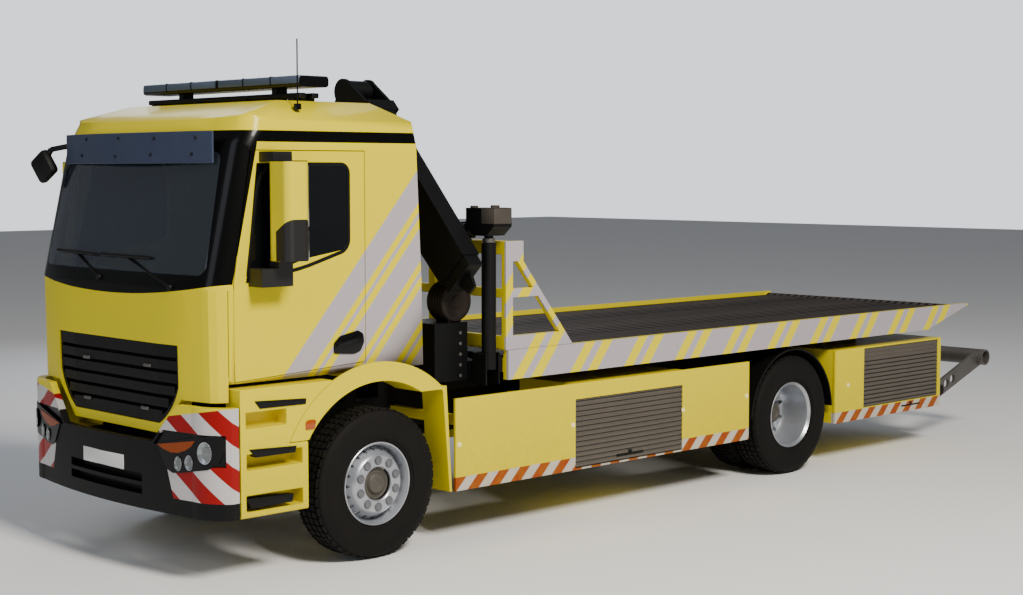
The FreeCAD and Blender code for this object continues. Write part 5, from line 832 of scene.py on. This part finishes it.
def rim(section, y, slot_count, slot_circle, slot_radius, slot_from, slot_to, stretch):
    """A rim from its section, with a ring of punched slots."""
    centre = (0, y, WHEEL_RADIUS)
    body = turned(section, centre, 80)
    drill = bar((slot_from, y, WHEEL_RADIUS + slot_circle), (slot_to, y, WHEEL_RADIUS + slot_circle),
                slot_radius, 16)
    pick(drill)
    bpy.ops.object.transform_apply(location=False, rotation=True, scale=True)
    drill.scale = (1, 1, stretch)
    drill = ring_of(drill, slot_count, centre)
    modified(body, "punch", "BOOLEAN", operation="DIFFERENCE", object=drill, solver="EXACT")
    bpy.data.objects.remove(drill)
    return body


def nuts(y, face):
    """Ten domed nut covers with washers round a hub."""
    at = WHEEL_RADIUS + NUT_CIRCLE
    cover = bar((face, y, at), (face + 0.013, y, at), 0.0285, 20, 0.006)
    washer = bar((face, y, at), (face + 0.004, y, at), 0.0325, 20, 0.001)
    return joined([ring_of(part, NUT_COUNT, (0, y, WHEEL_RADIUS)) for part in (cover, washer)])


def wheel_set(place, node, wheel, y, rim_piece, nut_face, hub_section):
    """Finishes a wheel's rim, nuts and hub on the left, and mirrors them to the right."""
    disc = finish_piece(rim_piece, f"{node}_left_disc", silver_enamel, f"{wheel}_left")
    cover = finish_piece(nuts(y, nut_face), f"nuts_{place}_left", nut_steel, f"{wheel}_left")
    hub = finish_piece(turned(hub_section, (0, y, WHEEL_RADIUS), 48), f"hub_{place}_left", hub_iron,
                       f"{wheel}_left")
    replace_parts(disc, f"{node}_left")
    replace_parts(mirrored(disc, f"{node}_right_disc", f"{wheel}_right"), f"{node}_right")
    mirrored(cover, f"nuts_{place}_right", f"{wheel}_right")
    mirrored(hub, f"hub_{place}_right", f"{wheel}_right")


FRONT_RIM = [
    (1.216, 0.2955), (1.219, 0.291), (1.216, 0.284), (1.204, 0.280), (1.192, 0.272), (1.160, 0.266),
    (1.128, 0.262), (1.140, 0.255), (1.196, 0.222), (1.212, 0.211), (1.220, 0.200), (1.221, 0.190),
    (1.221, 0.126), (1.216, 0.119), (1.204, 0.117), (1.202, 0.124), (1.206, 0.130), (1.206, 0.188),
    (1.198, 0.202), (1.184, 0.214), (1.128, 0.247), (1.110, 0.252), (0.986, 0.258),
    (0.962, 0.268), (0.950, 0.290), (0.952, 0.2955), (0.966, 0.2958), (0.975, 0.2957), (1.200, 0.2957),
    (1.216, 0.2955)]
FRONT_HUB = [
    (0.962, 0.010), (0.962, 0.100), (1.120, 0.116), (1.186, 0.1155), (1.190, 0.110), (1.186, 0.100),
    (1.190, 0.078), (1.206, 0.070), (1.212, 0.062), (1.213, 0.030), (1.209, 0.026), (1.209, 0.010),
    (1.210, 0.0005)]
REAR_RIM = [
    (1.214, 0.2955), (1.218, 0.290), (1.210, 0.283), (1.196, 0.270), (1.150, 0.262), (1.020, 0.258),
    (0.968, 0.250), (0.940, 0.232), (0.930, 0.210), (0.930, 0.118), (0.926, 0.112), (0.898, 0.112),
    (0.894, 0.210), (0.885, 0.236), (0.850, 0.252), (0.640, 0.262), (0.612, 0.285), (0.612, 0.2955),
    (0.640, 0.2957), (1.190, 0.2957), (1.214, 0.2955)]
REAR_HUB = [
    (0.896, 0.010), (0.896, 0.108), (0.930, 0.112), (0.944, 0.110), (0.948, 0.100), (1.010, 0.095),
    (1.024, 0.086), (1.027, 0.050), (1.022, 0.045), (1.022, 0.010), (1.023, 0.0005)]
front_disc = rim(FRONT_RIM, FRONT_AXLE, 20, 0.243, 0.0125, 1.06, 1.25, 1.15)
wheel_set("front", "rim_front", "wheel_front", FRONT_AXLE, front_disc, 1.221, FRONT_HUB)
rear_disc = rim(REAR_RIM, REAR_AXLE, 10, 0.213, 0.020, 0.86, 0.99, 1.2)
wheel_set("rear", "rims_rear", "wheels_rear", REAR_AXLE, rear_disc, 0.930, REAR_HUB)

# %% [markdown]
# ## Front lamps
# Each lamp cluster has a dark housing that bends round the bumper's corner, an amber turn lamp in its upper
# edge and three chromed bowls under clear lenses. The housing could be projected on the bumper, but that
# catches on the bumper's slots. Here a grid is trimmed to the outline and bent by the bumper's own curve,
# and a bowl is a disc that is inset and pushed in.

# %% Panels bent over the bumper's corner
FRONT_CURVE = [(0.600, -4.839), (0.716, -4.825), (0.800, -4.8135), (0.892, -4.799), (1.000, -4.782),
               (1.080, -4.768), (1.120, -4.757), (1.150, -4.740), (1.172, -4.720), (1.195, -4.692),
               (1.215, -4.664)]


def front_y(x):
    """How far forward the bumper's corner stands at a distance from the middle."""
    for (low, near), (high, far) in zip(FRONT_CURVE, FRONT_CURVE[1:]):
        if x <= high:
            return near + (far - near) * (x - low) / (high - low)
    return FRONT_CURVE[-1][1]


def laid_on(points, lift, thickness):
    """A panel bent over the corner: a grid trimmed to an outline of (x, z), bent and thickened."""
    nothing_selected()
    xs, zs = [x for x, z in points], [z for x, z in points]
    middle = ((min(xs) + max(xs)) / 2, 0, (min(zs) + max(zs)) / 2)
    bpy.ops.mesh.primitive_grid_add(x_subdivisions=40, y_subdivisions=2, size=1, location=middle,
                                    rotation=(math.pi / 2, 0, 0))
    piece = bpy.context.object
    piece.scale = (max(xs) - min(xs), max(zs) - min(zs), 1)
    settle()
    bpy.ops.object.mode_set(mode="EDIT")
    centre = Vector((sum(xs) / len(xs), 0, sum(zs) / len(zs)))
    for (x, z), (next_x, next_z) in zip(points, points[1:] + points[:1]):
        away = Vector((next_z - z, 0, x - next_x)).normalized()
        if away.dot(Vector((x, 0, z)) - centre) < 0:
            away.negate()
        bpy.ops.mesh.select_all(action="SELECT")
        bpy.ops.mesh.bisect(plane_co=(x, 0, z), plane_no=away, clear_outer=True)
    bpy.ops.object.mode_set(mode="OBJECT")
    for vertex in piece.data.vertices:
        vertex.co.y = front_y(vertex.co.x) - lift
    return modified(piece, "wall", "SOLIDIFY", thickness=thickness, offset=1)


def cup(at, out, radius, depth, lip, tall):
    """A lamp's bowl: a disc inset, pushed in and narrowed, then turned to face outwards."""
    nothing_selected()
    bpy.ops.mesh.primitive_circle_add(vertices=36, radius=radius, fill_type="NGON", location=at)
    piece = bpy.context.object
    bpy.ops.object.mode_set(mode="EDIT")
    bpy.ops.mesh.inset(thickness=lip)
    bpy.ops.mesh.extrude_region_move(TRANSFORM_OT_translate={"value": (0, 0, -depth)})
    bpy.ops.transform.resize(value=(0.5, 0.5, 1))
    bpy.ops.mesh.inset(thickness=radius * 0.1)
    modified(piece, "shell", "SOLIDIFY", thickness=0.003)
    piece.scale = (1, tall, 1)
    bpy.ops.object.transform_apply(location=False, rotation=False, scale=True)
    piece.rotation_euler = Vector(out).to_track_quat("Z", "Y").to_euler()
    return piece


# %% Housings, turn lamps, bowls and lenses
HOUSING = [(0.640, 0.912), (1.059, 0.997), (1.180, 1.012), (1.213, 0.985), (1.211, 0.930), (1.180, 0.824),
           (1.125, 0.785), (0.892, 0.742), (0.800, 0.732), (0.745, 0.752)]
AMBER = [(0.655, 0.910), (1.020, 0.966), (0.985, 0.925), (0.925, 0.893), (0.860, 0.872), (0.790, 0.868),
         (0.715, 0.885)]
FRONT_LAMPS = [(0.862, 0.800, 0.034, 0.20), (0.965, 0.815, 0.036, 0.26), (1.106, 0.893, 0.052, 0.48)]
TALL = 1.4
both_sides(laid_on(HOUSING, 0.001, 0.007), "lamp_housing", gloss_black)
# The turn lamp's lens is a darker, opaque copy of the amber lens: painted shade.
both_sides(laid_on(AMBER, 0.006, 0.006), "turn_lamp", amber_lens_painted_shade)
bowls, covers = [], []
for x, z, radius, lean in FRONT_LAMPS:
    out = Vector((math.sin(lean), -math.cos(lean), 0))
    seat = Vector((x, front_y(x) - 0.008, z))
    bowls.append(cup(seat + out * 0.006, out, radius, 0.010, radius * 0.09, TALL))
    cover = bar(seat + out * 0.006, seat + out * 0.010, radius * 0.95, 36, 0.0015)
    cover.scale = (1, TALL, 1)
    covers.append(cover)
both_sides(joined(bowls), "lamp_bowls", chrome)
both_sides(joined(covers), "lamp_lenses", lens_glass)

# %% [markdown]
# ## Plate, grille marks and painted shade panels
# The plate is a blank enamelled sheet in the bumper's middle, and short bright marks sit on the grille's
# slats. Behind the slots stand two thin black panels as painted shade, so that no light shines through from
# behind. The one behind the grille also stands for the radiator, which is dark.

# %% Plate, grille marks and painted shade panels
blank = slab((-0.265, FRONT_AXLE - 1.4585, 0.692), (0.265, FRONT_AXLE - 1.450, 0.792), 0.003)
finish_piece(blank, "blank_plate", plate_enamel, "chassis")
marks = [slab((x - 0.045, FRONT_AXLE - 1.358, z - 0.011), (x + 0.045, FRONT_AXLE - 1.346, z + 0.011), 0.004)
         for x, z in ((-0.38, 1.404), (0.42, 1.412), (-0.38, 1.114), (0.38, 1.116))]
finish_piece(joined(marks), "grille_marks", zinc, "cab")
# Painted shade behind the grille's slots, standing for the radiator too.
grille_shade_panel = slab((-0.77, -4.699, 1.04), (0.77, -4.690, 1.56), 0.003)
finish_piece(grille_shade_panel, "grille_shade_panel", black_plastic, "cab")
# Painted shade behind the bumper's slots.
bumper_shade_panel = slab((-0.62, -4.797, 0.47), (0.62, -4.783, 0.79), 0.003)
finish_piece(bumper_shade_panel, "bumper_shade_panel", black_plastic, "chassis")

# %% [markdown]
# ## Wipers
# Two wipers lie along the foot of the windscreen. Each is a spindle, an arm to the middle of its blade, and
# the blade. Plain bars are enough, since a blade is only 24 mm thick.


# %% Wipers
def wiper(foot, heel, tip):
    """An arm from its spindle to the middle of a blade that lies on the glass."""
    foot, middle = Vector(foot), (Vector(heel) + Vector(tip)) / 2
    return [bar(foot, middle, 0.009, 10), bar(heel, tip, 0.012, 8),
            bar(foot + Vector((0, 0.03, 0)), foot - Vector((0, 0.02, 0)), 0.02, 16, 0.003)]


wipers = wiper((-0.17, -4.772, 1.985), (-0.80, -4.742, 2.150), (-0.26, -4.756, 2.140))
wipers += wiper((0.72, -4.764, 1.955), (-0.18, -4.756, 2.142), (0.46, -4.754, 2.140))
finish_piece(joined(wipers), "wipers", black_plastic, "cab")

# %% [markdown]
# ## Visor bolts and the kerb mirror
# Eight bolts hold the smoked visor over the windscreen. The kerb mirror hangs from a bent tube on the far
# side and looks down at the pavement. Both are too small for the solids, so they are set on them here.

# %% Visor bolts and the kerb mirror
BOLTS = [(-0.572, -4.624, 2.948), (-0.089, -4.652, 2.948), (0.353, -4.642, 2.942), (0.791, -4.598, 2.942),
         (-0.653, -4.616, 2.832), (-0.138, -4.651, 2.822), (0.310, -4.644, 2.832), (0.751, -4.604, 2.833)]
visor_bolts = [bar((x, y + 0.006, z), (x, y - 0.006, z), 0.011, 12, 0.002) for x, y, z in BOLTS]
finish_piece(joined(visor_bolts), "visor_bolts", gloss_black, "cab")
kerb_mirror = [slab((-1.31, -4.655, 2.655), (-1.11, -4.575, 2.855), 0.032, (0.15, -0.55, 0.1)),
               bar((-1.02, -4.52, 2.905), (-1.13, -4.60, 2.880), 0.020, 14, 0.004),
               bar((-1.13, -4.60, 2.880), (-1.20, -4.615, 2.80), 0.022, 14, 0.004)]
finish_piece(joined(kerb_mirror), "kerb_mirror", black_plastic, "cab")

# %% [markdown]
# ## Doors and mirrors
# A door handle is a dark bow over a recess, with a lock at its end. The recess could be cut into the door,
# but a low dark plate with round corners reads as one too. A rubber seal frames the window: its outline is
# filled, inset and opened, so that the corners stay round. The mirror glasses face the driver, so from the
# front only their covers show.

# %% Door handle, window seal and mirror glass
WINDOW = [(-4.468, 1.978), (-3.985, 2.062), (-3.592, 2.176), (-3.592, 2.780), (-4.300, 2.780),
          (-4.376, 2.640)]
HANDLE = [(-3.744, 1.469), (-3.744, 1.540), (-3.690, 1.588), (-3.530, 1.618), (-3.486, 1.592),
          (-3.478, 1.535), (-3.510, 1.472), (-3.570, 1.456)]
GRIP = [(-3.730, 1.515), (-3.690, 1.552), (-3.530, 1.585), (-3.510, 1.560), (-3.600, 1.530)]
MIRROR_GLASSES = [(2.36, 2.76), (2.14, 2.33)]


def window_seal(side):
    """A flat rubber frame with round corners."""
    piece = outline_face([(side * 1.1505, y, z) for y, z in WINDOW], 0.075)
    edit_all()
    bpy.ops.mesh.inset(thickness=0.024)
    bpy.ops.mesh.delete(type="FACE")
    return bevelled(modified(piece, "wall", "SOLIDIFY", thickness=0.008, offset=0), 0.002)


for side, name in ((1, "left"), (-1, "right")):
    out = (side * 0.012, 0, 0)
    handle = joined([
        plate([(side * 1.1485, y, z) for y, z in HANDLE], out, 0.004, 0.014),
        plate([(side * 1.158, y, z) for y, z in GRIP], out, 0.005, 0.008),
        bar((side * 1.155, -3.522, 1.558), (side * 1.173, -3.522, 1.558), 0.009, 16, 0.002)])
    finish_piece(handle, f"door_handle_{name}", gloss_black, f"door_{name}")
    finish_piece(window_seal(side), f"window_seal_{name}", black_plastic, f"door_{name}")
    box_low, box_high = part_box(f"mirror_{name}")
    middle = side * ((box_high.x if side > 0 else -box_low.x) - 0.105)
    face = box_high.y
    glasses = [slab((middle - 0.075, face - 0.001, low), (middle + 0.075, face + 0.003, high), 0.002)
               for low, high in MIRROR_GLASSES]
    finish_piece(joined(glasses), f"mirror_glass_{name}", chrome, f"door_{name}")

# %% [markdown]
# ## Seats
# Behind the glass sit two seats with foam under woven cloth. Each cushion is a block whose edges are rounded
# before it is cut into a grid, and a subdivision surface softens it.

# %% Seat cushions
SEATS_X = (-0.58, 0.58)


def cushion(low, high, turn=(0, 0, 0)):
    """A soft-edged cushion between two corners."""
    nothing_selected()
    low, high = Vector(low), Vector(high)
    bpy.ops.mesh.primitive_cube_add(size=1, location=(low + high) / 2)
    piece = bpy.context.object
    piece.scale = high - low
    bpy.ops.object.transform_apply(location=False, rotation=False, scale=True)
    edit_all()
    bpy.ops.mesh.bevel(offset=0.035, segments=3)
    bpy.ops.mesh.select_all(action="SELECT")
    bpy.ops.mesh.subdivide(number_cuts=3)
    modified(piece, "soften", "SUBSURF", levels=1, render_levels=1)
    piece.rotation_euler = turn
    return piece


pads = [cushion((x - 0.24, -3.835, 1.675), (x + 0.24, -3.315, 1.815)) for x in SEATS_X]
backs = [cushion((x - 0.24, -3.305, 1.80), (x + 0.24, -3.175, 2.545), (-0.12, 0, 0)) for x in SEATS_X]
seat_pads = finish_piece(joined(pads + backs), "seat_cushions", cloth, "cab", 60)
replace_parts(seat_pads, "seats")
seat_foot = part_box("seats")[0].z
feet = [slab((x - 0.18, -3.77, seat_foot), (x + 0.18, -3.38, 1.68), 0.01) for x in SEATS_X]
finish_piece(joined(feet), "seat_bases", dash_plastic, "cab")

# %% [markdown]
# ## Roof
# A long lamp bar stands over the roof. Its two halves have smoked covers with a rib between modules, and a
# black carrier on four feet lies under it. All of them are blocks with rounded edges. Covers, ribs and
# carrier have one finish each, so that each is a piece of its own.

# %% Lamp bar covers, ribs and carrier
covers = [slab((low, -3.8965, 3.316), (high, -3.6385, 3.3735), 0.012)
          for low, high in ((-0.988, -0.012), (0.012, 0.988))]
finish_piece(joined(covers), "lamp_bar_covers", bar_plastic, "cab")
ribs = [slab((x - 0.006, -3.899, 3.314), (x + 0.006, -3.636, 3.3755), 0.002)
        for x in (-0.66, -0.33, 0.0, 0.33, 0.66)]
finish_piece(joined(ribs), "lamp_bar_ribs", gloss_black, "cab")
carrier = [slab((-0.99, y, 3.222), (0.93, y + 0.06, 3.258), 0.008) for y in (-3.85, -3.74)]
carrier += [slab((x - 0.03, -3.86, 3.196), (x + 0.03, -3.67, 3.230), 0.006)
            for x in (-0.90, -0.30, 0.30, 0.84)]
finish_piece(joined(carrier), "lamp_bar_carrier", black_plastic, "cab")

# %% [markdown]
# ## Sides
# Pale round markers show the length of the vehicle at night, and an amber lamp sits on the front fender.
# Each shutter has a grip with a lock, and the steps have dark treads let into the yellow boxes. All of them
# are low pieces on a flat side, so discs, blocks and plates with rounded edges do.

# %% Side markers, grips and treads
MARKERS = [(-2.667, 0.726), (-1.470, 0.745), (-0.148, 0.731), (0.700, 0.770), (2.224, 0.729)]
FENDER_LAMP = [(-4.060, 0.985), (-4.060, 1.038), (-4.040, 1.050), (-3.985, 1.050), (-3.972, 1.038),
               (-3.985, 0.985)]
TREADS = [[(-4.474, 1.219), (-4.053, 1.200), (-4.058, 1.162), (-4.431, 1.166)],
          [(-4.520, 0.905), (-4.138, 0.888), (-4.148, 0.846), (-4.470, 0.846)],
          [(-4.546, 0.581), (-4.167, 0.570), (-4.176, 0.516), (-4.505, 0.512)]]
markers = [bar((1.2445, y, z), (1.2515, y, z), 0.021, 20, 0.003) for y, z in MARKERS]
both_sides(joined(markers), "side_markers", marker_lens)
fender_lamp = plate([(1.244, y, z) for y, z in FENDER_LAMP], (0.008, 0, 0), 0.003, 0.008)
both_sides(fender_lamp, "fender_lamp", amber_lens)
grips = []
for y in (-0.80, 3.28):
    grips += [slab((1.238, y - 0.16, 0.436), (1.2475, y + 0.16, 0.452), 0.003),
              slab((1.238, y - 0.02, 0.452), (1.2465, y + 0.02, 0.474), 0.002)]
both_sides(joined(grips), "shutter_grips", black_plastic)
treads = [plate([(1.190, y, z) for y, z in outline], (0.0625, 0, 0), 0.003) for outline in TREADS]
both_sides(joined(treads), "step_treads", black_plastic)

# %% [markdown]
# ## Behind the cab
# A work lamp stands on the headboard's post and looks at the crane. Each stabiliser leg has a bright ring
# where its tube ends, and a grey casing over its top. Short bars and rounded blocks make them. The lamp rides
# on the bed and the casings on their legs, because those are what they are bolted to.

# %% Work lamp, leg rings and casings
WORK_LAMP_X = 0.86
LEG_X, LEG_Y = 1.195, -2.3225
work_lamp = [slab((WORK_LAMP_X - 0.07, -2.30, 2.215), (WORK_LAMP_X + 0.07, -2.20, 2.345), 0.012),
             bar((WORK_LAMP_X, -2.19, 2.19), (WORK_LAMP_X, -2.25, 2.225), 0.014, 12)]
finish_piece(joined(work_lamp), "work_lamps", gloss_black, "bed")
lamp_face = slab((WORK_LAMP_X - 0.058, -2.306, 2.228), (WORK_LAMP_X + 0.058, -2.298, 2.332), 0.003)
finish_piece(lamp_face, "work_lamp_faces", lens_glass, "bed")
for side, name in ((1, "left"), (-1, "right")):
    ring = bar((side * LEG_X, LEG_Y, 2.192), (side * LEG_X, LEG_Y, 2.226), 0.047, 28, 0.004)
    finish_piece(ring, f"leg_ring_{name}", zinc, f"stabiliser_leg_{name}")
    near, far = sorted((side * 1.208, side * 1.348))
    casing = joined([slab((near, -2.4175, 2.330), (far, -2.2275, 2.4525), 0.012),
                     bar((side * 1.10, -2.38, 2.449), (side * 1.10, -2.38, 2.466), 0.030, 24, 0.004),
                     bar((side * 1.24, -2.30, 2.449), (side * 1.24, -2.30, 2.470), 0.034, 24, 0.004)])
    finish_piece(casing, f"leg_casing_{name}", casing_grey, f"stabiliser_leg_{name}")

# %% [markdown]
# ## Valve cabinet and hose drum
# The crane's valves sit in a cabinet whose door has five bolts. Above it sits a drum of ribbed rubber. Its
# ribs could be rings that are pushed on one by one, but rib follows rib at one pitch, so that a loop can
# write the whole section before it is spun.

# %% Valve cabinet bolts and hose drum
RIB_START, RIB_PITCH, RIB_COUNT = 0.864, 0.030, 6
bolts = [bar((1.038, -2.470, z), (1.047, -2.470, z), 0.013, 14, 0.003)
         for z in (1.20, 1.28, 1.36, 1.44, 1.52)]
finish_piece(joined(bolts), "cabinet_bolts", zinc, "chassis")
drum_section = [(0.86, 0.0005), (0.86, 0.10)]
for step in range(RIB_COUNT):
    at = RIB_START + step * RIB_PITCH
    drum_section += [(at, 0.128), (at + 0.004, 0.144), (at + 0.015, 0.150), (at + 0.026, 0.144),
                     (at + RIB_PITCH, 0.128)]
drum_section += [(1.046, 0.11), (1.040, 0.095), (1.040, 0.05), (1.046, 0.045), (1.046, 0.0005)]
drum = [turned(drum_section, (0, -2.505, 1.755), 48), slab((0.88, -2.57, 1.598), (1.02, -2.44, 1.70), 0.006)]
finish_piece(joined(drum), "hose_drum", hose_rubber, "chassis")

# %% [markdown]
# ## Tail lamps
# Under the bed's end stands a lamp cluster on each side: a dark case with a red lens inwards and an amber
# one outwards. Its lenses are flat, so that blocks with rounded edges do.

# %% Tail lamps
tail_case = slab((0.62, 3.806, 0.66), (1.02, 3.856, 0.80), 0.01)
both_sides(tail_case, "tail_lamp_case", gloss_black)
tail_light = slab((0.635, 3.85, 0.675), (0.80, 3.864, 0.785), 0.004)
both_sides(tail_light, "tail_lamp", red_lens)
tail_turn = slab((0.815, 3.85, 0.675), (1.005, 3.864, 0.785), 0.004)
both_sides(tail_turn, "tail_turn_lamp", amber_lens)

# %% [markdown]
# ## Floor and light
# A pale floor carries a soft shadow. One large lamp stands where the sun is, high on the near side, and two
# weaker ones fill the front and the far side, so that the black parts still show their edges. The world is
# dim as a light but bright to look at, which keeps the shadows deep before a pale backdrop.

# %% Floor and lights
nothing_selected()
bpy.ops.mesh.primitive_plane_add(size=120, location=(0, 0, -0.001))
floor = bpy.context.object
floor.name = "floor"
floor_finish, floor_tree, floor_shader, floor_spot = new_finish("pale_studio_floor")
floor_tone = add(floor_tree, "TexNoise", {"Vector": floor_spot, "Scale": 1000 / 4000, "Detail": 2.0})
wire(floor_shader, {
    "Base Color": layered(floor_tree, linear("#F6F6F6"), (floor_tone, linear("#F0F0F1"))), "Roughness": 0.8})
floor.data.materials.append(floor_finish)
world = bpy.data.worlds.new("studio")
bpy.context.scene.world = world
world.use_nodes = True
seen = add(world.node_tree, "LightPath", out="Is Camera Ray")
wire(world.node_tree.nodes["Background"], {
    "Color": linear("#E4E8EE"),
    "Strength": add(world.node_tree, "MapRange", {"Value": seen, "To Min": 0.24, "To Max": 1.7})})


def lamp(name, place, aim, size, power, colour):
    """A large soft lamp that looks at a point."""
    bpy.ops.object.light_add(type="AREA", location=place)
    light = bpy.context.object
    light.name = name
    light.data.size = size
    light.data.energy = power
    light.data.color = linear(colour)[:3]
    light.rotation_euler = (Vector(aim) - Vector(place)).to_track_quat("-Z", "Y").to_euler()


lamp("sun_side", (13, -5, 12), (0, 0, 1), 4, 3700, "#FFF8EC")
lamp("front_fill", (2, -15, 6), (0, -4, 1.4), 6, 300, "#EAF1FF")
lamp("far_fill", (-10, 4, 7), (0, 0, 1), 6, 300, "#EAF1FF")
print("lights:", [light.name for light in bpy.data.lights])
